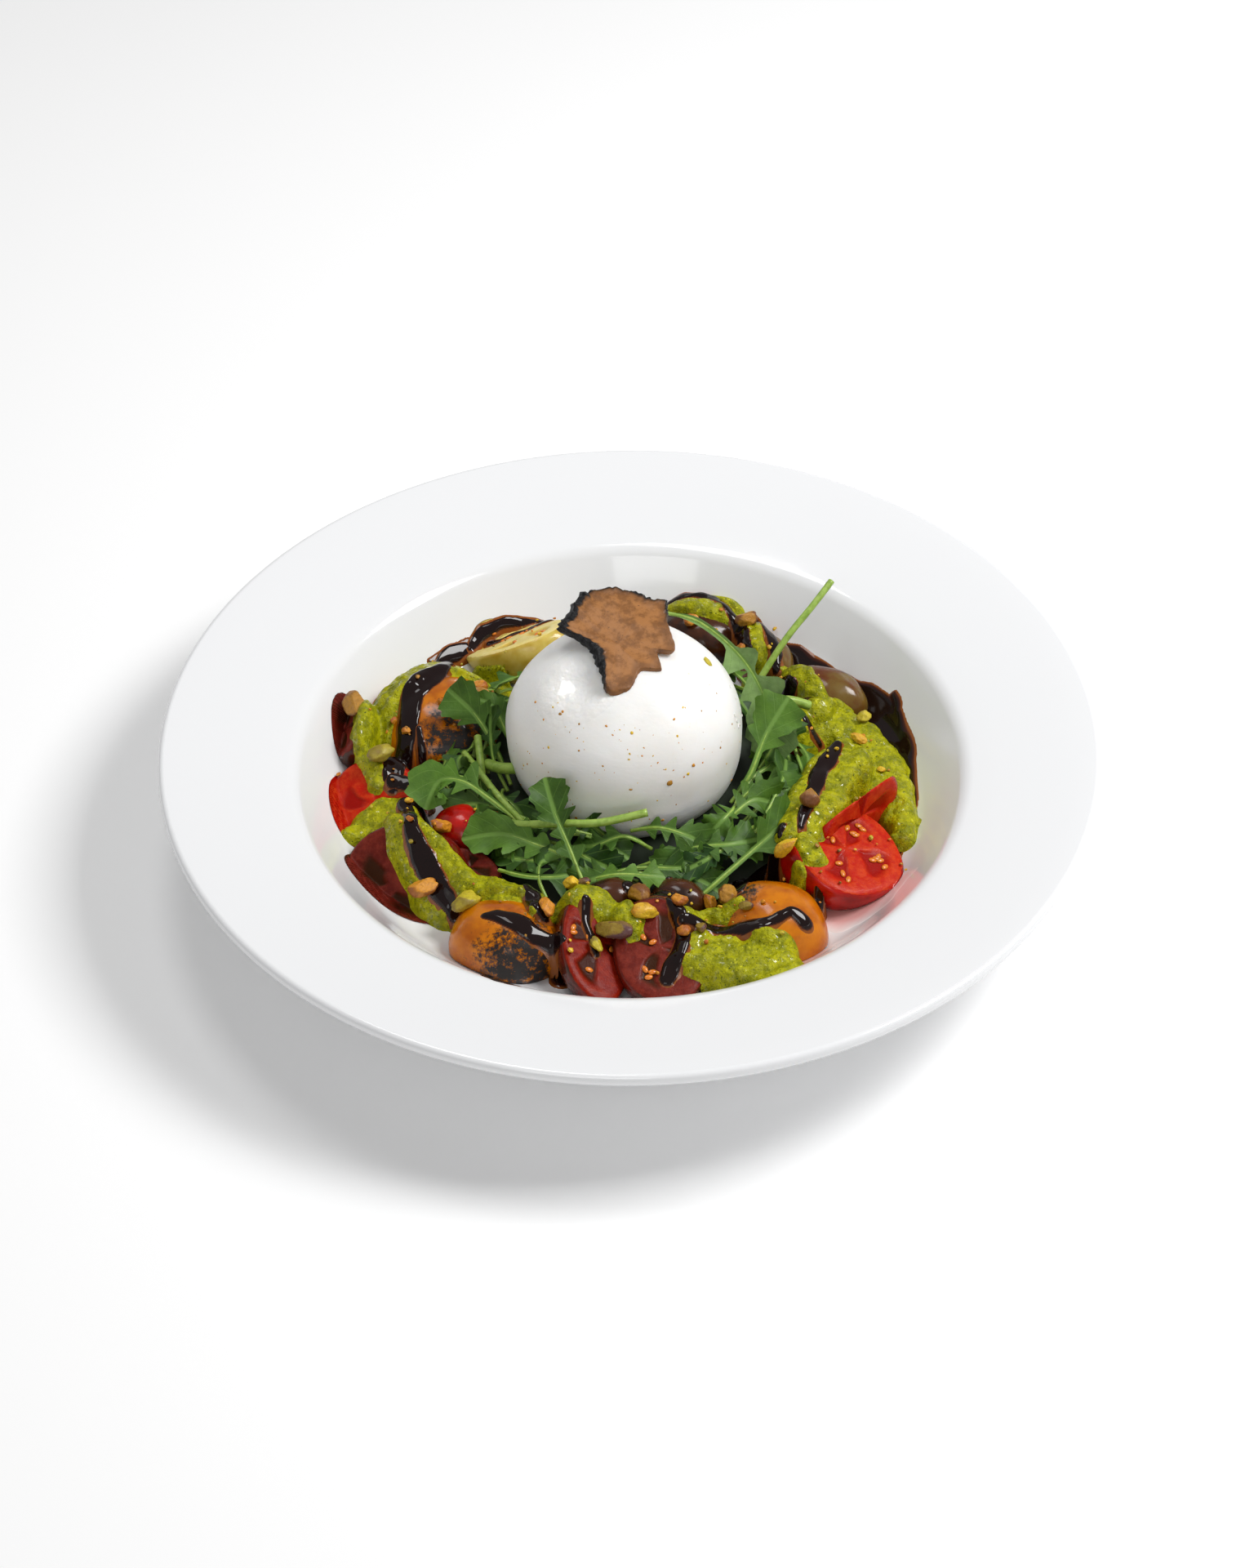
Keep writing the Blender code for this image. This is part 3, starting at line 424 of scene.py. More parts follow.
def joined(parts):
    """Several (points, faces) as one."""
    points, faces, start = [], [], 0
    for part_points, part_faces in parts:
        points.append(part_points)
        faces.append(np.asarray(part_faces) + start)
        start += len(part_points)
    return np.vstack(points), np.vstack(faces)


def add_piece(name, points, faces, material, stands_for=(), values=None, uv=None):
    """A smooth mesh that rides on the dish, with optional named values at its points."""
    mesh = bpy.data.meshes.new(name)
    mesh.from_pydata((np.asarray(points) * MM).tolist(), [], np.asarray(faces).tolist())
    mesh.shade_smooth()
    mesh.materials.append(material)
    for key, data in (values or {}).items():
        kind = "FLOAT" if np.ndim(data) == 1 else "FLOAT_COLOR"
        field = mesh.attributes.new(key, kind, "POINT")
        field.data.foreach_set("value" if kind == "FLOAT" else "color", np.ravel(data))
    if uv is not None:
        layer = mesh.uv_layers.new(name="flat")
        corners = np.empty(len(mesh.loops), np.int64)
        mesh.loops.foreach_get("vertex_index", corners)
        layer.data.foreach_set("uv", np.asarray(uv)[corners].ravel())
    piece = bpy.data.objects.new(name, mesh)
    bpy.context.scene.collection.objects.link(piece)
    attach(piece, "root")
    if stands_for:
        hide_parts(*stands_for)
    return piece


# ---------------------------------------------------------------- shaders


class Shader:
    """A Principled material and short calls for the nodes that feed it. Sizes are millimetres."""

    def __init__(self, name, **values):
        self.material = bpy.data.materials.new(name)
        self.material.use_nodes = True
        self.tree = self.material.node_tree
        self.surface = self.tree.nodes["Principled BSDF"]
        self.place = self.tree.nodes.new("ShaderNodeTexCoord").outputs["Object"]
        self.last_bump = None
        for key, value in values.items():
            self.feed(key.replace("_", " ").title().replace("Ior", "IOR"), value)

    def feed(self, name, value):
        self.connect(self.surface.inputs[name], value)

    def connect(self, socket, value):
        if isinstance(value, bpy.types.NodeSocket):
            self.tree.links.new(value, socket)
        else:
            socket.default_value = value

    def noise(self, size, detail=3.0, roughness=0.55, stretch=None):
        node = self.tree.nodes.new("ShaderNodeTexNoise")
        node.inputs["Scale"].default_value = 1 / (size * MM)
        node.inputs["Detail"].default_value = detail
        node.inputs["Roughness"].default_value = roughness
        self.connect(node.inputs["Vector"], self.place if stretch is None else self.stretched(stretch))
        return node.outputs["Fac"]

    def stretched(self, scale):
        node = self.tree.nodes.new("ShaderNodeMapping")
        node.inputs["Scale"].default_value = scale
        self.connect(node.inputs["Vector"], self.place)
        return node.outputs["Vector"]

    def value(self, name):
        node = self.tree.nodes.new("ShaderNodeAttribute")
        node.attribute_name = name
        return node.outputs["Fac"]

    def tint(self, name):
        node = self.tree.nodes.new("ShaderNodeAttribute")
        node.attribute_name = name
        return node.outputs["Color"]

    def flat(self):
        node = self.tree.nodes.new("ShaderNodeUVMap")
        node.uv_map = "flat"
        split = self.tree.nodes.new("ShaderNodeSeparateXYZ")
        self.connect(split.inputs["Vector"], node.outputs["UV"])
        return split.outputs["X"], split.outputs["Y"]

    def math(self, operation, first, second=0.0):
        node = self.tree.nodes.new("ShaderNodeMath")
        node.operation = operation
        self.connect(node.inputs[0], first)
        self.connect(node.inputs[1], second)
        return node.outputs["Value"]

    def rise(self, value, low, high):
        """0 below low and 1 above high, or the other way round if low is the higher."""
        node = self.tree.nodes.new("ShaderNodeMapRange")
        node.interpolation_type = "SMOOTHSTEP"
        falling = low > high
        self.connect(node.inputs["Value"], value)
        node.inputs["From Min"].default_value = min(low, high)
        node.inputs["From Max"].default_value = max(low, high)
        node.inputs["To Min"].default_value = 1.0 if falling else 0.0
        node.inputs["To Max"].default_value = 0.0 if falling else 1.0
        return node.outputs["Result"]

    def blend(self, share, first, second):
        node = self.tree.nodes.new("ShaderNodeMix")
        node.data_type = "RGBA"
        self.connect(node.inputs[0], share)
        self.connect(node.inputs[6], first)
        self.connect(node.inputs[7], second)
        return node.outputs[2]

    def relief(self, height, depth, strength=1.0):
        """Add a bump of the given depth on top of the ones so far."""
        node = self.tree.nodes.new("ShaderNodeBump")
        node.inputs["Strength"].default_value = strength
        node.inputs["Distance"].default_value = depth * MM
        self.connect(node.inputs["Height"], height)
        if self.last_bump is not None:
            self.connect(node.inputs["Normal"], self.last_bump)
        self.last_bump = node.outputs["Normal"]
        self.feed("Normal", self.last_bump)


def soft_inside(shader, weight, radius, tint):
    """Let light spread under the surface."""
    shader.feed("Subsurface Weight", weight)
    shader.feed("Subsurface Radius", tint)
    shader.feed("Subsurface Scale", radius * MM)


def porcelain():
    shader = Shader("porcelain", base_color=(0.865, 0.87, 0.88, 1), roughness=0.12)
    shader.feed("Coat Weight", 0.5)
    shader.feed("Coat Roughness", 0.05)
    return shader.material


def cheese():
    shader = Shader("burrata", roughness=0.34)
    stain = shader.rise(shader.noise(7.0, 2.0), 0.60, 0.78)
    fleck = shader.rise(shader.noise(0.9, 2.0), 0.60, 0.72)
    mark = shader.math("MULTIPLY", stain, fleck)
    cream = shader.blend(shader.rise(shader.noise(16.0, 2.0), 0.35, 0.7),
                         (0.93, 0.92, 0.895, 1), (0.90, 0.885, 0.845, 1))
    shader.feed("Base Color", shader.blend(shader.math("MULTIPLY", mark, 0.5), cream, colour(224, 196, 120)))
    soft_inside(shader, 0.35, 4.0, (1.0, 0.85, 0.7))
    wet = shader.value("wet")
    shader.feed("Roughness", shader.blend(wet, (0.36,) * 3 + (1,), (0.12,) * 3 + (1,)))
    shader.feed("Coat Weight", shader.math("MULTIPLY", wet, 0.8))
    shader.feed("Coat Roughness", 0.06)
    shader.relief(shader.math("MULTIPLY", wet, shader.noise(6.0, 3.0)), 1.6, 0.7)
    shader.relief(shader.noise(6.0, 3.0, stretch=(0.8, 0.8, 1.6)), 0.6, 0.25)
    shader.relief(shader.noise(1.4, 3.0, stretch=(0.6, 0.6, 1.4)), 0.12, 0.4)
    return shader.material


def truffle():
    shader = Shader("truffle", roughness=0.4)
    shader.feed("Specular IOR Level", 0.3)
    rind = shader.value("rind")
    veins = shader.rise(shader.noise(4.0, 5.0, 0.7), 0.42, 0.62)
    flesh = shader.blend(veins, colour(166, 112, 62), colour(130, 84, 42))
    pores = shader.rise(shader.noise(0.7, 2.0), 0.68, 0.74)
    flesh = shader.blend(pores, flesh, colour(78, 52, 32))
    edge = shader.rise(shader.value("near_edge"), 0.2, 1.0)
    flesh = shader.blend(shader.math("MULTIPLY", edge, 0.5), flesh, colour(98, 62, 34))
    bark = shader.blend(shader.rise(shader.noise(0.7, 3.0), 0.5, 0.75), colour(10, 10, 13),
                        colour(46, 44, 46))
    shader.feed("Base Color", shader.blend(rind, flesh, bark))
    shader.relief(shader.noise(3.0, 3.0), 0.35, 0.5)
    shader.relief(shader.math("MULTIPLY", rind, shader.noise(0.6, 3.0)), 0.4, 0.9)
    return shader.material


def pesto():
    shader = Shader("pesto")
    lumps = shader.noise(3.0, 5.0, 0.65)
    green = shader.blend(shader.rise(lumps, 0.32, 0.68), colour(120, 124, 0), colour(178, 176, 4))
    fleck = shader.rise(shader.noise(0.7, 2.0), 0.63, 0.70)
    green = shader.blend(fleck, green, colour(52, 74, 8))
    # Light yellow flecks: partly the pesto's own pale bits, partly painted small highlights.
    light = shader.rise(shader.noise(1.3, 2.0), 0.64, 0.74)
    green = shader.blend(light, green, colour(206, 204, 40))
    shader.feed("Base Color", green)
    shader.feed("Roughness", 0.4)
    shader.feed("Specular IOR Level", 0.2)
    soft_inside(shader, 0.08, 0.8, (0.8, 1.0, 0.1))
    shader.feed("Coat Weight", shader.math("MULTIPLY", shader.rise(shader.noise(1.8, 3.0), 0.54, 0.62), 0.9))
    shader.feed("Coat Roughness", 0.08)
    shader.relief(shader.noise(2.2, 4.0, 0.6), 0.9, 0.8)
    shader.relief(shader.noise(0.6, 3.0), 0.4, 0.9)
    return shader.material


def glaze():
    """Near black, and brown where it thins out at its edge."""
    shader = Shader("balsamic", roughness=0.05)
    depth = shader.value("depth")
    warm = shader.blend(shader.rise(depth, 0.0, 0.4), colour(136, 76, 30), colour(66, 26, 12))
    shader.feed("Base Color", shader.blend(shader.rise(depth, 0.2, 0.8), warm, colour(24, 10, 9)))
    shader.feed("IOR", 1.38)
    return shader.material


def juice():
    shader = Shader("juice", roughness=0.12)
    shader.feed("Base Color", shader.blend(shader.value("depth"), (0.86, 0.83, 0.82, 1),
                                           colour(224, 172, 168)))
    return shader.material


SKINS = {
    "orange": (colour(204, 118, 0), colour(164, 80, 0)),
    "yellow": (colour(214, 190, 96), colour(188, 152, 44)),
    "red": (colour(190, 20, 8), colour(136, 10, 4)),
    "plum": (colour(104, 22, 10), colour(56, 28, 12)),
    "roast": (colour(74, 36, 14), colour(34, 16, 8)),
    "olive": (colour(112, 88, 36), colour(96, 46, 18)),
}
FLESH = {
    "orange": (colour(214, 140, 30), colour(188, 104, 16), colour(226, 166, 60)),
    "yellow": (colour(226, 206, 120), colour(206, 170, 66), colour(234, 218, 150)),
    "red": (colour(182, 26, 8), colour(150, 14, 4), colour(200, 62, 22)),
    "plum": (colour(98, 28, 20), colour(56, 26, 6), colour(126, 46, 34)),
    "wedge": (colour(116, 16, 4), colour(60, 18, 2), colour(140, 36, 12)),
    "roast": (colour(90, 46, 22), colour(60, 30, 14), colour(110, 60, 30)),
    "olive": (colour(130, 100, 52), colour(96, 66, 30), colour(150, 120, 70)),
}


def tomato_shader(tomato):
    """Skin, scorch marks, and wet flesh with gel where it is cut."""
    shader = Shader(tomato.name)
    base, deep = SKINS[tomato.finish]
    skin = shader.blend(shader.rise(shader.noise(9.0, 3.0), 0.35, 0.7), base, deep)
    fine = shader.rise(shader.noise(0.8, 2.0), 0.55, 0.75)
    skin = shader.blend(shader.math("MULTIPLY", fine, 0.25), skin, deep)
    rough = 0.2
    if tomato.name in CHAR:
        centre, reach = CHAR[tomato.name]
        shift = shader.tree.nodes.new("ShaderNodeVectorMath")
        shift.operation = "DISTANCE"
        shader.connect(shift.inputs[0], shader.place)
        shift.inputs[1].default_value = Vector(centre) * MM
        near = shader.math("DIVIDE", shift.outputs["Value"], reach * MM)
        spread = shader.math("MULTIPLY", shader.math("MULTIPLY", near, near), 0.12)
        patch = shader.math("SUBTRACT", shader.noise(3.2, 8.0, 0.78), spread)
        skin = shader.blend(shader.rise(patch, 0.34, 0.44), skin, colour(116, 64, 8))
        scorch = shader.rise(patch, 0.435, 0.465)
        skin = shader.blend(scorch, skin, colour(26, 17, 13))
        rough = shader.math("MULTIPLY_ADD", scorch, 0.3)
        rough.node.inputs[2].default_value = 0.2
    flesh_colour, gel_colour, pale = FLESH["wedge" if "wedge" in tomato.name else tomato.finish]
    streaks = shader.rise(shader.noise(2.4, 4.0, 0.7), 0.35, 0.7)
    flesh = shader.blend(streaks, flesh_colour, pale)
    flesh = shader.blend(shader.value("gel"), flesh, gel_colour)
    flesh = shader.blend(shader.value("core"), flesh, pale)
    cut = shader.rise(shader.value("cut"), 0.35, 0.65)
    shader.feed("Base Color", shader.blend(cut, skin, flesh))
    shader.feed("Roughness", shader.math("MAXIMUM", rough, shader.math("MULTIPLY", cut, 0.34)))
    soft_inside(shader, 0.12, 2.0, (1.0, 0.3, 0.1))
    dry = shader.math("SUBTRACT", 1.0, shader.math("MULTIPLY", cut, 0.75))
    shader.feed("Specular IOR Level", shader.math("MULTIPLY", dry, 0.35))
    shader.feed("Coat Weight", shader.math("MULTIPLY", dry, 0.12))
    shader.feed("Coat Roughness", 0.08)
    shader.relief(shader.noise(6.0, 2.0), 0.5, 0.3)
    shader.relief(shader.math("MULTIPLY", cut, shader.noise(0.5, 2.0)), 0.12, 0.8)
    return shader.material


def seed_shader():
    shader = Shader("tomato_seed", base_color=colour(214, 122, 30), roughness=0.25)
    soft_inside(shader, 0.3, 1.0, (1.0, 0.6, 0.2))
    return shader.material


def leaf_shader():
    shader = Shader("rocket_leaf", roughness=0.5)
    across, along = shader.flat()
    off = shader.math("ABSOLUTE", shader.math("SUBTRACT", across, 0.5))
    rib = shader.rise(off, 0.026, 0.008)
    sweep = shader.math("SUBTRACT", along, shader.math("MULTIPLY", off, 0.9))
    wave = shader.math("SINE", shader.math("MULTIPLY", sweep, 62.0))
    vein = shader.math("MULTIPLY", shader.rise(wave, 0.92, 0.99), 0.3)
    tone = shader.tint("tone")
    patch = shader.blend(shader.math("MULTIPLY", shader.rise(shader.noise(5.0, 3.0), 0.3, 0.75), 0.45),
                         tone, colour(30, 64, 10))
    shader.feed("Base Color", shader.blend(shader.math("MAXIMUM", rib, vein), patch, colour(106, 142, 60)))
    soft_inside(shader, 0.1, 0.8, (0.4, 1.0, 0.2))
    shader.feed("Specular IOR Level", 0.3)
    shader.relief(shader.math("MAXIMUM", rib, vein), 0.25, 0.5)
    shader.relief(shader.noise(1.6, 3.0), 0.3, 0.5)
    return shader.material


def stalk_shader():
    shader = Shader("rocket_stalk", roughness=0.35)
    streak = shader.rise(shader.noise(2.0, 3.0), 0.35, 0.7)
    shader.feed("Base Color", shader.blend(streak, colour(160, 188, 84), colour(128, 160, 58)))
    soft_inside(shader, 0.15, 1.0, (0.5, 1.0, 0.2))
    return shader.material


def bed_shader():
    # Flat dark green that paints the shade deep in the salad between the leaves.
    shader = Shader("rocket_shade", base_color=colour(20, 34, 10), roughness=0.6)
    return shader.material


def nut_shader():
    shader = Shader("pistachio", roughness=0.5)
    tone = shader.tint("tone")
    shade = shader.rise(shader.noise(1.1, 4.0, 0.7), 0.42, 0.72)
    shader.feed("Base Color", shader.blend(shader.math("MULTIPLY", shade, 0.45), tone, colour(112, 64, 12)))
    shader.feed("Coat Weight", 0.2)
    shader.feed("Coat Roughness", 0.25)
    soft_inside(shader, 0.08, 0.8, (1.0, 0.7, 0.2))
    shader.relief(shader.noise(0.9, 4.0, 0.7), 0.4, 0.8)
    return shader.material


# ---------------------------------------------------------------- plate and burrata


def rounded(corners, step):
    """The corners of a profile with an arc of its own radius at each."""
    points = []
    for index, (r, z, radius) in enumerate(corners):
        corner = Vector((r, z))
        if radius == 0.0:
            points.append(corner)
            continue
        before = (Vector(corners[index - 1][:2]) - corner).normalized()
        after = (Vector(corners[index + 1][:2]) - corner).normalized()
        half = before.angle(after) / 2
        middle = corner + (before + after).normalized() * radius / math.sin(half)
        start = corner + before * radius / math.tan(half) - middle
        sweep = math.pi - 2 * half
        if before.x * after.y - before.y * after.x > 0:
            sweep = -sweep
        steps = math.ceil(abs(sweep) / math.radians(step))
        for count in range(steps + 1):
            points.append(middle + Matrix.Rotation(sweep * count / steps, 2) @ start)
    return np.array([point[:] for point in points])


def lathe(profile, segments):
    """A turned body from a profile that starts and ends on the axis."""
    angles = np.arange(segments) / segments * math.tau
    ring = profile[1:-1]
    points = np.stack((np.outer(ring[:, 0], np.cos(angles)), np.outer(ring[:, 0], np.sin(angles)),
                       np.repeat(ring[:, 1:], segments, 1)), -1).reshape(-1, 3)
    top, bottom = len(points), len(points) + 1
    points = np.vstack((points, (0, 0, profile[0, 1]), (0, 0, profile[-1, 1])))
    turn = np.arange(segments)
    after = (turn + 1) % segments
    faces = [np.stack((np.full(segments, top), turn, after), -1)]
    for row in range(len(ring) - 1):
        a, b = row * segments, (row + 1) * segments
        faces.append(np.stack((a + turn, b + turn, b + after), -1))
        faces.append(np.stack((a + turn, b + after, a + after), -1))
    last = (len(ring) - 1) * segments
    faces.append(np.stack((last + after, last + turn, np.full(segments, bottom)), -1))
    return points, np.vstack(faces)


def plate_shape():
    """The plate's profile, with points along its straight stretches too, and its turned body."""
    corners = rounded(PLATE_CORNERS, 7)
    profile = [corners[0]]
    for first, second in zip(corners, corners[1:]):
        pieces = max(1, math.ceil(np.linalg.norm(second - first) / 9.0))
        profile.extend(first + (second - first) * share / pieces for share in range(1, pieces + 1))
    return np.array(profile), *lathe(np.array(profile), 176)


def burrata_points(directions):
    """Where the burrata's skin lies along unit directions from its middle."""
    flat = np.hypot(directions[:, 0], directions[:, 1])
    lift = np.abs(directions[:, 2])
    upper = directions[:, 2] >= 0
    power = np.where(upper, DOME_POWER, BASE_POWER)
    tall = np.where(upper, BURRATA_TOP, BURRATA_BOTTOM)
    scale = ((flat / BURRATA_RADIUS) ** power + (lift / tall) ** power) ** (-1 / power)
    points = directions * scale[:, None]
    weight = np.where(upper, lift, 0.0)
    dent = np.hypot(points[:, 0] - DENT_CENTRE[0], points[:, 1] - DENT_CENTRE[1])
    knot = np.hypot(points[:, 0] - KNOT_CENTRE[0], points[:, 1] - KNOT_CENTRE[1])
    points[:, 2] -= DENT_DEPTH * np.exp(-((dent / DENT_RADIUS) ** 2)) * weight
    points[:, 2] += KNOT_HEIGHT * np.exp(-((knot / KNOT_RADIUS) ** 2)) * weight
    soft = grain(directions, 0.6, 3) * 0.8 + grain(directions, 0.22, 4) * 0.16
    return points + directions * soft[:, None] + BURRATA_CENTRE


# ---------------------------------------------------------------- tomatoes


def tomato_shape(tomato):
    """A ribbed egg shape whose cuts are flat, with values that say where flesh and gel show."""
    directions, faces = ball(tomato.detail)
    half = np.array(tomato.half, float)
    turn = turned((0, 0, tomato.turn))
    centre = np.array(tomato.centre, float)
    normals = [np.array(direction) / np.linalg.norm(direction) for direction, _ in tomato.cuts]
    away = -sum(normals) * half.min() * 0.45 if normals else np.zeros(3)
    inner_away = (away @ turn) / half
    inner = (directions @ turn) / half
    a = (inner**2).sum(1)
    b = (inner * inner_away).sum(1)
    c = (inner_away**2).sum() - 1.0
    reach = (-b + np.sqrt(b * b - a * c)) / a
    around = np.arctan2(inner[:, 1], inner[:, 0])
    reach *= 1 + TOMATO_RIB_DEPTH * np.cos(TOMATO_RIBS * around) * (1 - directions[:, 2] ** 2)
    reach *= 1 + 0.012 * grain(directions, 0.5, len(tomato.name))
    nearness = reach ** -18.0
    for normal, (_, offset) in zip(normals, tomato.cuts):
        facing = directions @ normal
        plane = (offset - away @ normal) / np.maximum(facing, 1e-3)
        nearness += np.where(facing > 1e-3, plane ** -18.0, 0.0)
    length = nearness ** (-1 / 18.0)
    offset_points = away + directions * length[:, None]
    points = centre + offset_points
    shell = np.linalg.norm((offset_points @ turn) / half, axis=1)
    cut, gel, core = (np.zeros(len(points)) for _ in range(3))
    for normal, (_, offset) in zip(normals, tomato.cuts):
        depth = offset - offset_points @ normal
        on_face = smooth(0.9, 0.25, depth) * smooth(0.995, 0.965, shell)
        first = np.cross(normal, (0.31, 0.95, 0.05))
        first /= np.linalg.norm(first)
        second = np.cross(normal, first)
        angle = np.arctan2(offset_points @ second, offset_points @ first)
        wobble = 0.5 * grain(points, 5.0, 2)
        pocket = smooth(-0.15, 0.55, np.cos(4 * angle + wobble * 2))
        pocket *= smooth(0.26, 0.40, shell + wobble * 0.1) * smooth(0.80, 0.68, shell + wobble * 0.06)
        cut = np.maximum(cut, on_face)
        gel = np.maximum(gel, pocket * on_face)
        core = np.maximum(core, smooth(0.32, 0.12, shell) * on_face)
        points -= normal * (pocket * on_face * 0.55)[:, None]
    return points, faces, {"cut": cut, "gel": gel, "core": core}


def seed_set(tomato, points, gel, seed):
    """Flat seeds lying in the gel of a cut tomato."""
    chance = np.random.default_rng(seed)
    normal = np.array(tomato.cuts[0][0]) / np.linalg.norm(tomato.cuts[0][0])
    lean = np.array(Vector((0, 0, 1)).rotation_difference(Vector(normal)).to_matrix())
    spots = chance.choice(points[gel > 0.5], SEEDED[tomato.name], replace=False)
    directions, faces = ball(3)
    parts = []
    for spot in spots:
        body = directions * (1.25, 0.8, 0.45)
        body = body @ turned((0, 0, chance.uniform(0, 180))).T @ lean.T
        parts.append((body + spot + normal * 0.25, faces))
    return joined(parts)


# ---------------------------------------------------------------- surface that sauces lie on


class Ground:
    """A map of how high the food is at every spot, which each sauce then raises."""

    half = 100.0
    step = 0.4

    def __init__(self, profile):
        count = int(2 * self.half / self.step) + 1
        line = np.linspace(-self.half, self.half, count)
        self.x, self.y = np.meshgrid(line, line, indexing="ij")
        self.plate = profile[:profile[:, 0].argmax() + 1]
        self.z = self.plate_at(self.x, self.y)

    def plate_at(self, x, y):
        """The height of the bare plate."""
        return np.interp(np.hypot(x, y), self.plate[:, 0], self.plate[:, 1])

    def cover(self, shapes):
        """Raise the map where solid food stands on the plate."""
        points, faces = joined(shapes)
        tree = BVHTree.FromPolygons(points.tolist(), faces.tolist())
        down = Vector((0, 0, -1))
        spots = zip(self.x.ravel(), self.y.ravel())
        found = [tree.ray_cast(Vector((x, y, 120.0)), down)[0] for x, y in spots]
        heights = np.array([0.0 if hit is None else hit.z for hit in found])
        self.z = np.maximum(self.z, heights.reshape(self.z.shape))

    def at(self, x, y):
        """The height at a spot, from the nearest point of the map."""
        i = int(round((x + self.half) / self.step))
        j = int(round((y + self.half) / self.step))
        return float(self.z[i, j])

    def tilt_at(self, x, y, reach=1.6):
        """The surface's upward direction, averaged over a short reach."""
        run_x = self.at(x + reach, y) - self.at(x - reach, y)
        run_y = self.at(x, y + reach) - self.at(x, y - reach)
        normal = np.array((-run_x, -run_y, 2 * reach))
        return normal / np.linalg.norm(normal)

    def swollen(self, reach, blur):
        """The map with its steps widened and softened."""
        cells = int(math.ceil(reach / self.step))
        high = self.z.copy()
        for i in range(-cells, cells + 1):
            for j in range(-cells, cells + 1):
                distance = math.hypot(i, j) * self.step
                if 0 < distance <= reach:
                    drop = reach - math.sqrt(max(reach**2 - distance**2, 0.0))
                    high = np.maximum(high, np.roll(self.z, (i, j), (0, 1)) - drop)
        return self.blurred(high, blur)

    def blurred(self, field, blur):
        if blur <= 0:
            return field
        rows = np.fft.fftfreq(field.shape[0], self.step)
        columns = np.fft.rfftfreq(field.shape[1], self.step)
        fade = np.exp(-2 * (math.pi * blur) ** 2 * (rows[:, None] ** 2 + columns[None, :] ** 2))
        return np.fft.irfft2(np.fft.rfft2(field) * fade, s=field.shape)

    def reach_of(self, strokes, wobble, size, seed):
        """How far outside a set of strokes each spot is, negative inside."""
        field = np.full(self.x.shape, 99.0)
        for stroke in strokes:
            for x, y, radius in curve_through(stroke, 14 * len(stroke)):
                low_i, high_i = ((int((v + self.half + side) / self.step) for v, side in
                                  ((x, -radius - 3), (x, radius + 3))))
                low_j, high_j = ((int((v + self.half + side) / self.step) for v, side in
                                  ((y, -radius - 3), (y, radius + 3))))
                window = np.s_[max(low_i, 0):high_i, max(low_j, 0):high_j]
                away = np.hypot(self.x[window] - x, self.y[window] - y) - radius
                field[window] = np.minimum(field[window], away)
        spots = np.stack((self.x, self.y), -1)
        return field + wobble * grain(spots, size, seed)

    def pour(self, strokes, height, edge, drape, blur,
             lumps=(), wobble=0.0, size=4.0, seed=0, rim=1.2, level=0):
        """Lay a sauce down, raise the map by it and return its mesh."""
        away = self.reach_of(strokes, wobble, size, seed)
        under = self.swollen(drape, blur)
        inside = np.clip(-away / edge, 0.0, 1.0)
        body = np.sqrt(1 - (1 - inside) ** 2)
        spots = np.stack((self.x, self.y), -1)
        relief = sum(amount * grain(spots, width, seed + index)
                     for index, (amount, width) in enumerate(lumps))
        inner_top = under + np.maximum(level - under, height) * body + relief * body
        skirt = smooth(0.0, 1.4, away)
        outer_top = under * (1 - skirt) + (self.z - 0.6) * skirt
        top = np.where(away <= 0, inner_top, outer_top)
        shown = (away < 1.4) & (top > self.z - 0.7)
        mesh = self.mesh_of(top, shown)
        self.z = np.where(shown, np.maximum(self.z, top), self.z)
        return (*mesh, np.clip(-away / rim, 0.0, 1.0)[shown])

    def mesh_of(self, top, shown):
        """The shown cells of a height map as a mesh."""
        numbers = np.full(shown.shape, -1)
        numbers[shown] = np.arange(shown.sum())
        points = np.stack((self.x[shown], self.y[shown], top[shown]), -1)
        a, b = numbers[:-1, :-1], numbers[1:, :-1]
        c, d = numbers[1:, 1:], numbers[:-1, 1:]
        whole = (a >= 0) & (b >= 0) & (c >= 0) & (d >= 0)
        return points, np.stack((a[whole], b[whole], c[whole], d[whole]), -1)


# ---------------------------------------------------------------- leaves and stalks


def unit(vectors):
    return vectors / np.linalg.norm(vectors, axis=-1, keepdims=True)


def tube(path, radii, sides=8):
    """A round stalk along a path, tapering as its radii say, with pointed ends."""
    along = unit(np.gradient(path, axis=0))
    first = unit(np.cross(along, (0.13, 0.21, 0.97)))
    second = np.cross(along, first)
    angles = np.arange(sides) / sides * math.tau
    rings = (path[:, None] + radii[:, None, None] * (first[:, None] * np.cos(angles)[None, :, None]
                                                     + second[:, None] * np.sin(angles)[None, :, None]))
    points = np.vstack((rings.reshape(-1, 3), path[0], path[-1]))
    turn = np.arange(sides)
    after = (turn + 1) % sides
    faces = []
    for row in range(len(path) - 1):
        a, b = row * sides, (row + 1) * sides
        faces.append(np.stack((a + turn, a + after, b + after), -1))
        faces.append(np.stack((a + turn, b + after, b + turn), -1))
    start, end = len(points) - 2, len(points) - 1
    last = (len(path) - 1) * sides
    faces.append(np.stack((after, turn, np.full(sides, start)), -1))
    faces.append(np.stack((last + turn, last + after, np.full(sides, end)), -1))
    return points, np.vstack(faces)


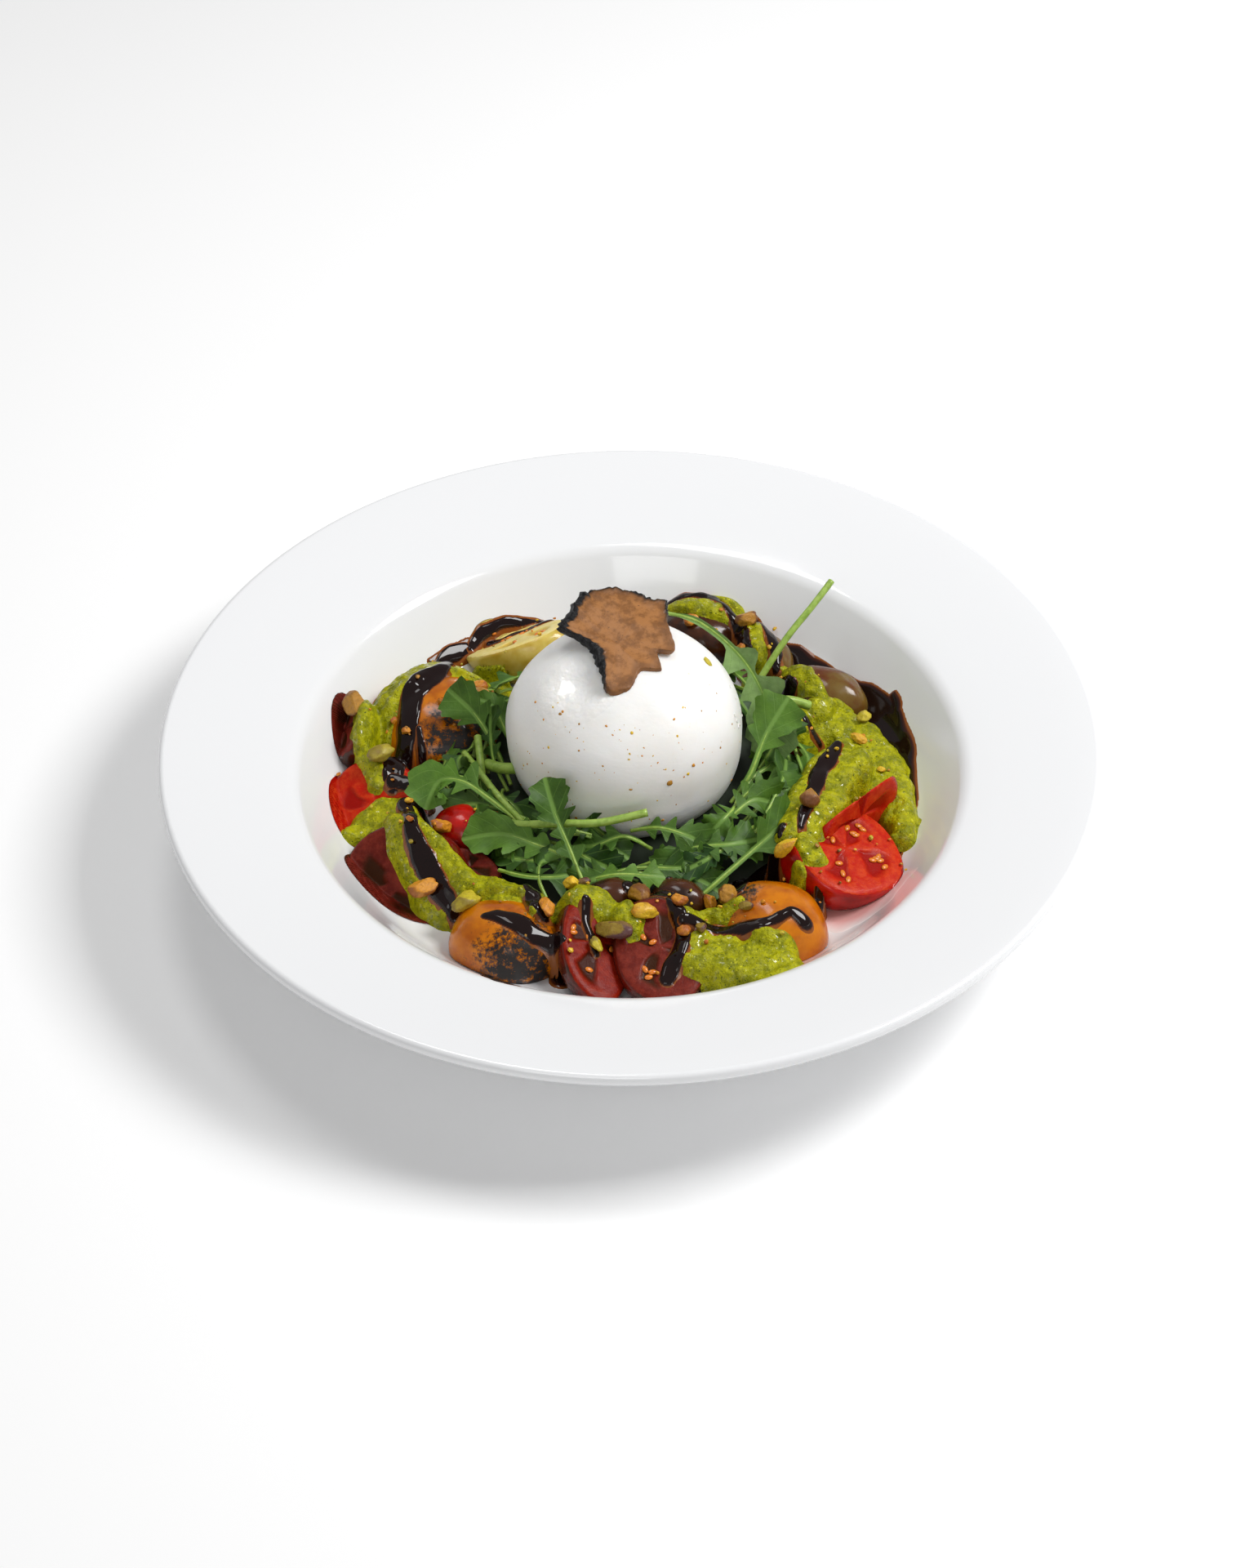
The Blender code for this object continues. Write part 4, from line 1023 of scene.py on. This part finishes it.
def leaf_shape(leaf, seed):
    """A lobed blade along its spine, cupped and rippled, and the stalk under its rib."""
    rows, columns = 46, 16
    spine = curve_through(leaf.spine, rows)
    length = np.linalg.norm(np.diff(spine, axis=0), axis=1).sum()
    along = unit(np.gradient(spine, axis=0))
    side = unit(np.cross(np.broadcast_to(leaf.face, along.shape), along))
    normal = np.cross(along, side)
    chance = np.random.default_rng(seed)
    s = np.linspace(0, 1, rows + 1)[:, None]
    u = np.linspace(-1, 1, columns + 1)[None, :]
    hand = np.sign(u) * 0.018
    tip = 0.80 if leaf.lobes else 0.60
    spread = 0.17 if leaf.lobes else 0.30
    width = np.exp(-np.abs((s - tip) / spread) ** 2.6) * np.ones_like(u)
    for lobe in range(leaf.lobes):
        middle = 0.62 - 0.17 * lobe * (1 if leaf.lobes < 4 else 0.75)
        size = (0.95 - 0.13 * lobe) * (1 + 0.2 * chance.uniform(-1, 1, 2))
        bulge = np.exp(-np.abs((s - middle - hand) / 0.052) ** 2.2)
        width = np.maximum(width, bulge * np.where(u < 0, size[0], size[1]))
    width = np.maximum(width, 0.13 * smooth(0.0, 0.2, s))
    teeth = 1 + 0.09 * np.sin(s * 70 + 3 * np.sign(u)) * np.exp(-((s - tip) / 0.25) ** 2)
    closing = np.sqrt(np.clip(1 - s, 0, 1) / 0.12).clip(0, 1)
    half = 0.9 * leaf.width * width * teeth * closing
    off = u * half
    phase = chance.uniform(0, math.tau, 3)
    lift = 0.20 * np.abs(off) ** 1.25 * (0.6 + 0.8 * np.sin(s * 4 + phase[0]))
    lift = lift + 1.1 * np.sin(s * 26 + phase[1] + 1.3 * np.sign(u)) * (np.abs(off) / leaf.width) ** 1.5
    shear = 0.28 * np.abs(off)
    points = (spine[:, None] + side[:, None] * off[..., None] + normal[:, None] * lift[..., None]
              + along[:, None] * shear[..., None]).reshape(-1, 3)
    flat = np.stack((0.5 + off / 40.0, np.broadcast_to(s * length / 40.0, off.shape)), -1).reshape(-1, 2)
    numbers = np.arange(len(points)).reshape(rows + 1, columns + 1)
    faces = np.stack((numbers[:-1, :-1], numbers[:-1, 1:], numbers[1:, 1:], numbers[1:, :-1]),
                     -1).reshape(-1, 4)
    low = 0.15 if leaf.lobes else 0.0
    stem = tube(spine - normal * 0.3, 0.5 * (1 - np.linspace(0, 1, rows + 1)) ** 0.8 + low * 0.3 + 0.08)
    return points, faces, flat, stem


def leaf_tone(bright, chance):
    """A green between dark and bright."""
    dark = np.array(colour(30, 62, 14))
    fair = np.array(colour(98, 138, 42))
    pale = np.array(colour(140, 168, 106))
    share = max(bright + 0.12 * chance.uniform(-1, 1), 0.0)
    tone = dark + (fair - dark) * min(share, 1.0) + (pale - fair) * max(share - 1.0, 0.0)
    tone[3] = 1.0
    return tone


def filler_leaves():
    """Leaves that fill the heap round the burrata, lying mostly along it."""
    chance = np.random.default_rng(21)
    leaves = []
    for index in range(FILLER_LEAVES):
        angle = math.tau * (index + chance.uniform(0, 0.8)) / FILLER_LEAVES
        radius = chance.uniform(38, 53)
        level = chance.uniform(16, 21) + 5 * smooth(44, 37, radius)
        sweep = chance.uniform(0.35, 0.65) * chance.choice((-1, 1))
        spine = []
        for share in (0.0, 0.35, 0.7, 1.0):
            turn = angle + sweep * (share - 0.5)
            out = radius + chance.uniform(-2, 2) + 3 * share
            height = level + 4.0 * math.sin(share * math.pi) + chance.uniform(-1, 1)
            spine.append((BURRATA_CENTRE[0] + out * math.cos(turn),
                          BURRATA_CENTRE[1] + out * math.sin(turn), height))
        face = (0.5 * math.cos(angle) + chance.uniform(-0.3, 0.3),
                0.5 * math.sin(angle) + chance.uniform(-0.3, 0.3), 0.85)
        leaves.append(Leaf(tuple(spine), chance.uniform(4.5, 7.0), face, int(chance.integers(1, 4)),
                           chance.uniform(0.0, 0.8)))
    return leaves


def rocket_bed_shape():
    """A dark heap under the leaves, which paints the shade between them."""
    spokes, rings = 72, 14
    angles = np.arange(spokes) / spokes * math.tau
    shares = np.linspace(0, 1, rings)
    points = []
    for share in shares:
        for angle in angles:
            reach = 30 + share * (23 + 2.5 * math.sin(5 * angle) + 1.5 * math.sin(9 * angle + 1))
            x = BURRATA_CENTRE[0] + reach * math.cos(angle)
            y = BURRATA_CENTRE[1] + reach * math.sin(angle)
            height = 18.5 - 7.5 * share**2
            points.append((x, y, height + 1.4 * float(grain(np.array((x, y)), 6.0, 5))))
    numbers = np.arange(len(points)).reshape(rings, spokes)
    after = np.roll(numbers, -1, 1)
    faces = np.stack((numbers[:-1], numbers[1:], after[1:], after[:-1]), -1).reshape(-1, 4)
    return np.array(points), faces


# ---------------------------------------------------------------- nuts, crumbs and truffle


def nut_shape(half, seed, detail):
    """A broken piece of nut: an egg shape with a few flat breaks."""
    chance = np.random.default_rng(seed)
    directions, faces = ball(detail)
    nearness = np.ones(len(directions))
    broken = np.zeros(len(directions))
    for _ in range(6):
        normal = chance.normal(size=3)
        normal /= np.linalg.norm(normal)
        facing = directions @ normal
        plane = chance.uniform(0.5, 0.85) / np.maximum(facing, 1e-3)
        nearness += np.where(facing > 1e-3, plane ** -26.0, 0.0)
        broken = np.maximum(broken, np.where(facing > 1e-3, smooth(1.05, 0.97, plane), 0.0))
    length = nearness ** (-1 / 26.0)
    length *= 1 + 0.08 * grain(directions, 0.4, seed) + 0.05 * grain(directions, 0.16, seed + 1)
    return directions * length[:, None] * np.array(half), faces, broken


def nut_set(nuts, ground, seed, detail):
    """Nuts lying on the food, joined, with a colour at every point."""
    parts, tones = [], []
    for index, nut in enumerate(nuts):
        points, faces, broken = nut_shape(nut.half, seed + index, detail)
        up = ground.tilt_at(nut.x, nut.y)
        up = unit(up + np.array((0, 0, 1.2)))
        lean = np.array(Vector((0, 0, 1)).rotation_difference(Vector(up)).to_matrix())
        points = points @ turned((0, 0, nut.turn)).T @ lean.T
        base = max(ground.at(nut.x + dx, nut.y + dy) for dx in (-1, 0, 1) for dy in (-1, 0, 1))
        points += (nut.x, nut.y, base + nut.half[2] * 0.55)
        inner, outer = (np.array(colour(*tone)) for tone in NUT_COLOURS[nut.kind])
        patch = smooth(-0.2, 0.4, grain(points, 2.5, seed + index))[:, None]
        fleshy = np.maximum(broken[:, None], patch * 0.5)
        parts.append((points, faces))
        tones.append(outer * (1 - fleshy) + inner * fleshy)
    points, faces = joined(parts)
    return points, faces, np.vstack(tones)


def crumb_list(ground):
    """Tiny crumbs strewn over the ring of food."""
    chance = np.random.default_rng(5)
    crumbs = []
    kinds = ("yellow", "orange", "green", "brown")
    while len(crumbs) < CRUMBS:
        angle = chance.uniform(0, math.tau)
        radius = chance.normal(66, 11)
        x, y = radius * math.cos(angle), radius * math.sin(angle)
        if radius > 92 or ground.at(x, y) < 16:
            continue
        size = chance.uniform(0.35, 0.95)
        half = (size, size * chance.uniform(0.6, 1.0), size * chance.uniform(0.5, 0.9))
        crumbs.append(Nut(x, y, half, chance.uniform(0, 180), str(chance.choice(kinds))))
    return crumbs


def truffle_shape():
    """A slice with a flat brown face and a warty black rind, thick along its left side."""
    outline = closed_curve(TRUFFLE_OUTLINE, 34)
    count = len(outline)
    index = np.arange(count) / count * len(TRUFFLE_OUTLINE)
    torn = smooth(4.6, 5.4, index) * smooth(11.4, 10.8, index)
    thick = smooth(10.8, 11.8, index)
    out = unit(outline)
    warts = np.clip(grain(outline, 1.9, 8) * 0.9 + grain(outline, 0.9, 9) * 0.6, -0.3, 1.1)
    rough = np.where(torn > 0.5, 0.3, 0.7 + 0.5 * thick)
    edge = outline + out * (warts * rough)[:, None]
    band = 0.5 + 1.3 * thick
    depth = np.linalg.norm(edge, axis=1)
    shares = (0.0, 0.2, 0.4, 0.55, 0.68, 0.78, 0.84, 0.88, 0.91, 0.94, 0.97, 1.0)
    rows, rinds, nears = [], [], []
    for share in shares:
        flat = edge * share
        inward = depth * (1 - share)
        rind = (1 - torn) * smooth(band + 0.3, band - 0.1, inward)
        lump = 0.5 * grain(flat, 7.0, 10) + 0.12 * grain(flat, 1.6, 11)
        lump = lump + rind * (0.5 * np.clip(grain(flat, 1.0, 14), -0.3, 1) + 0.2)
        rows.append(np.column_stack((flat, lump)))
        rinds.append(rind)
        nears.append(smooth(5.0, 0.5, inward))
    for level in (0.08, 0.22, 0.4, 0.6, 0.8, 1.0):
        bulge = (0.5 + 0.8 * thick) * math.sin(level * math.pi)
        knobs = 0.8 * grain(np.column_stack((outline, np.full(count, level * 4.0))), 1.2, 12)
        flat = edge + out * (bulge + np.clip(knobs, -0.3, 0.8) * (1 - torn))[:, None]
        rows.append(np.column_stack((flat, np.full(count, -TRUFFLE_THICKNESS * level))))
        rinds.append(1 - torn)
        nears.append(np.ones(count))
    rows.append(np.column_stack((edge * 0.0, np.full(count, -TRUFFLE_THICKNESS))))
    rinds.append(np.zeros(count))
    nears.append(np.zeros(count))
    points = np.vstack(rows)
    points[:, 2] -= TRUFFLE_SAG * (points[:, :2] ** 2).sum(1)
    numbers = np.arange(len(points)).reshape(-1, count)
    after = np.roll(numbers, -1, 1)
    faces = np.stack((numbers[:-1], numbers[1:], after[1:], after[:-1]), -1).reshape(-1, 4)
    points = points @ turned((TRUFFLE_TILT, 0, 0)).T + TRUFFLE_CENTRE
    return points, faces, {"rind": np.concatenate(rinds), "near_edge": np.concatenate(nears)}


def specks(spots, kinds, sizes, seed):
    """Flecks lying on the burrata, in directions from its middle."""
    parts, tones = [], []
    chance = np.random.default_rng(seed)
    for spot, kind, size in zip(spots, kinds, sizes):
        direction = unit(np.array(spot, float))
        place = burrata_points(direction[None, :])[0]
        points, faces, _ = nut_shape((size, size * chance.uniform(0.6, 1), size * 0.35), seed, 2)
        lean = np.array(Vector((0, 0, 1)).rotation_difference(Vector(direction)).to_matrix())
        parts.append((points @ turned((0, 0, chance.uniform(0, 180))).T @ lean.T + place, faces))
        tones.append(np.tile(colour(*NUT_COLOURS[kind][0]), (len(points), 1)))
        seed += 1
    points, faces = joined(parts)
    return points, faces, np.vstack(tones)


# ---------------------------------------------------------------- the dish


def build_dish():
    profile, plate_points, plate_faces = plate_shape()
    add_piece("plate_glaze", plate_points, plate_faces, porcelain(), ("plate",))
    ground = Ground(profile)
    points, faces, depth = ground.pour(JUICE, **JUICE_FLOW)
    add_piece("tomato_juice", points, faces, juice(), (), {"depth": depth})
    dark = glaze()
    # Besides the real pool, this lays dark glaze that paints the shade in the gaps under the front food.
    points, faces, depth = ground.pour(POOL_AND_SHADE, **POOL_FLOW)
    add_piece("balsamic_pool", points, faces, dark, (), {"depth": depth})

    directions, ball_faces = ball(7)
    cheese_points = burrata_points(directions)
    dent = np.hypot(cheese_points[:, 0] - BURRATA_CENTRE[0] - DENT_CENTRE[0],
                    cheese_points[:, 1] - BURRATA_CENTRE[1] - DENT_CENTRE[1])
    wet = smooth(17.0, 7.0, dent) * (cheese_points[:, 2] > BURRATA_CENTRE[2])
    add_piece("burrata_skin", cheese_points, ball_faces, cheese(), ("burrata",), {"wet": wet})

    shapes = [(cheese_points, ball_faces)]
    late = []
    seed_look = seed_shader()
    for number, tomato in enumerate(TOMATOES):
        points, faces, values = tomato_shape(tomato)
        points[:, 2] = np.maximum(points[:, 2], ground.plate_at(points[:, 0], points[:, 1]) + PLATE_GAP)
        add_piece(f"{tomato.name}_whole", points, faces, tomato_shader(tomato),
                  (tomato.name,), values)
        (late if tomato.name == "tomato_red_sliver" else shapes).append((points, faces))
        if tomato.name in SEEDED:
            points, faces = seed_set(tomato, points, values["gel"], TOMATO_SEED_SEED + number)
            add_piece(f"{tomato.name}_seeds", points, faces, seed_look)

    ground.cover(shapes)
    green = pesto()
    for number, spoonful in enumerate(PESTO):
        points, faces, _ = ground.pour(spoonful.strokes, spoonful.thin, spoonful.edge,
                                       seed=PESTO_SEED + number, level=spoonful.level, **PESTO_FLOW)
        add_piece(f"{spoonful.name}_spoonful", points, faces, green,
                  (spoonful.name,) if spoonful.stands_for else ())
    ground.cover(late)
    for number, stroke in enumerate(GLAZE):
        points, faces, depth = ground.pour((stroke.path,), stroke.height,
                                           seed=GLAZE_SEED + number, **GLAZE_FLOW)
        add_piece(f"balsamic_{number + 1:02d}", points, faces, dark, (), {"depth": depth})

    build_rocket()

    kernel = nut_shader()
    for number, nut in enumerate(NUTS):
        points, faces, tones = nut_set((nut,), ground, NUT_SEED + number, NUT_DETAIL)
        add_piece(f"pistachio_{number + 1:02d}_kernel", points, faces, kernel,
                  (f"pistachio_{number + 1:02d}",), {"tone": tones})
    points, faces, tones = nut_set(SMALL_NUTS, ground, BITS_SEED, NUT_DETAIL)
    add_piece("pistachio_bits", points, faces, kernel, (), {"tone": tones})
    points, faces, tones = nut_set(crumb_list(ground), ground, 400, 3)
    add_piece("pistachio_crumbs", points, faces, kernel, (), {"tone": tones})

    points, faces, values = truffle_shape()
    add_piece("truffle_face", points, faces, truffle(), ("truffle_slice",), values)

    chance = np.random.default_rng(9)
    spots = [(0.62, 0.12, 0.50), (0.33, -0.80, 0.12), (-0.55, -0.68, 0.05)]
    kinds = ["green", "brown", "brown"]
    sizes = [1.9, 1.1, 1.4]
    for _ in range(120):
        around = chance.uniform(-2.9, -0.2)
        spots.append((math.cos(around), math.sin(around), chance.uniform(-0.35, 0.9)))
        kinds.append(str(chance.choice(("yellow", "yellow", "yellow", "orange", "toasted", "toasted",
                                        "brown"))))
        sizes.append(0.16 + 0.5 * chance.uniform(0, 1) ** 3)
    for _ in range(9):
        spots.append((1.0, chance.uniform(-0.25, 0.1), chance.uniform(0.05, 0.45)))
        kinds.append("curd")
        sizes.append(chance.uniform(0.5, 1.0))
    points, faces, tones = specks(spots, kinds, sizes, 500)
    add_piece("burrata_flecks", points, faces, kernel, (), {"tone": tones})


def build_rocket():
    """Every leaf as one mesh, every stalk as another, over a dark heap that paints the shade between them.
    """
    points, faces = rocket_bed_shape()
    add_piece("rocket_shade", points, faces, bed_shader())
    chance = np.random.default_rng(3)
    blades, flats, tones, stems = [], [], [], []
    for number, leaf in enumerate((*LEAVES, *filler_leaves())):
        points, faces, flat, stem = leaf_shape(leaf, 100 + number)
        blades.append((points, faces))
        flats.append(flat)
        tones.append(np.tile(leaf_tone(leaf.bright, chance), (len(points), 1)))
        stems.append(stem)
    points, faces = joined(blades)
    add_piece("rocket_leaves", points, faces, leaf_shader(), ("rocket_bed",),
              {"tone": np.vstack(tones)}, np.vstack(flats))
    for stalk in STALKS:
        path = curve_through(stalk.path, 30)
        stems.append(tube(path, np.full(len(path), stalk.radius), 12))
    points, faces = joined(stems)
    add_piece("rocket_stalks", points, faces, stalk_shader())


# ---------------------------------------------------------------- room, lights and camera


def build_stage():
    """A white floor that keeps only the soft shadow, and a white world."""
    material = bpy.data.materials.new("floor")
    material.use_nodes = True
    tree = material.node_tree
    surface = tree.nodes["Principled BSDF"]
    surface.inputs["Base Color"].default_value = (0.98, 0.98, 0.98, 1)
    surface.inputs["Roughness"].default_value = 0.9
    surface.inputs["Specular IOR Level"].default_value = 0.0
    rays = tree.nodes.new("ShaderNodeLightPath")
    surface.inputs["Emission Color"].default_value = (1, 1, 1, 1)
    glow = tree.nodes.new("ShaderNodeMath")
    glow.operation = "MULTIPLY"
    glow.inputs[1].default_value = FLOOR_GLOW
    tree.links.new(rays.outputs["Is Camera Ray"], glow.inputs[0])
    tree.links.new(glow.outputs["Value"], surface.inputs["Emission Strength"])
    bpy.ops.mesh.primitive_plane_add(size=6.0, location=(0, 0, -0.0002))
    floor = bpy.context.object
    floor.name = "floor"
    floor.data.materials.append(material)

    world = bpy.data.worlds.new("studio")
    bpy.context.scene.world = world
    world.use_nodes = True
    backdrop = world.node_tree.nodes["Background"]
    backdrop.inputs["Color"].default_value = (1, 1, 1, 1)
    backdrop.inputs["Strength"].default_value = WORLD_LIGHT


def build_lamps():
    for lamp in LAMPS:
        light = bpy.data.lights.new(lamp.name, "AREA")
        light.shape = "RECTANGLE"
        light.size = lamp.width
        light.size_y = lamp.depth
        light.energy = lamp.power
        thing = bpy.data.objects.new(lamp.name, light)
        thing.location = lamp.place
        aim = Vector(lamp.aim) - Vector(lamp.place)
        thing.rotation_euler = aim.to_track_quat("-Z", "Y").to_euler()
        bpy.context.scene.collection.objects.link(thing)


def build_camera():
    """The view from the front, looking down."""
    rise = math.radians(VIEW_ELEVATION)
    back = Vector((0, -math.cos(rise), math.sin(rise)))
    turn = (-back).to_track_quat("-Z", "Y").to_matrix()
    roll = Matrix.Rotation(math.radians(VIEW_ROLL), 3, "Z")
    camera = bpy.data.cameras.new("view")
    camera.lens = LENS
    thing = bpy.data.objects.new("view", camera)
    thing.matrix_world = Matrix.LocRotScale(VIEW_TARGET + back * VIEW_DISTANCE,
                                            (turn @ roll).to_quaternion(), None)
    bpy.context.scene.collection.objects.link(thing)
    bpy.context.scene.camera = thing


build_dish()
build_stage()
build_lamps()
build_camera()
bpy.context.scene.view_settings.view_transform = "Standard"
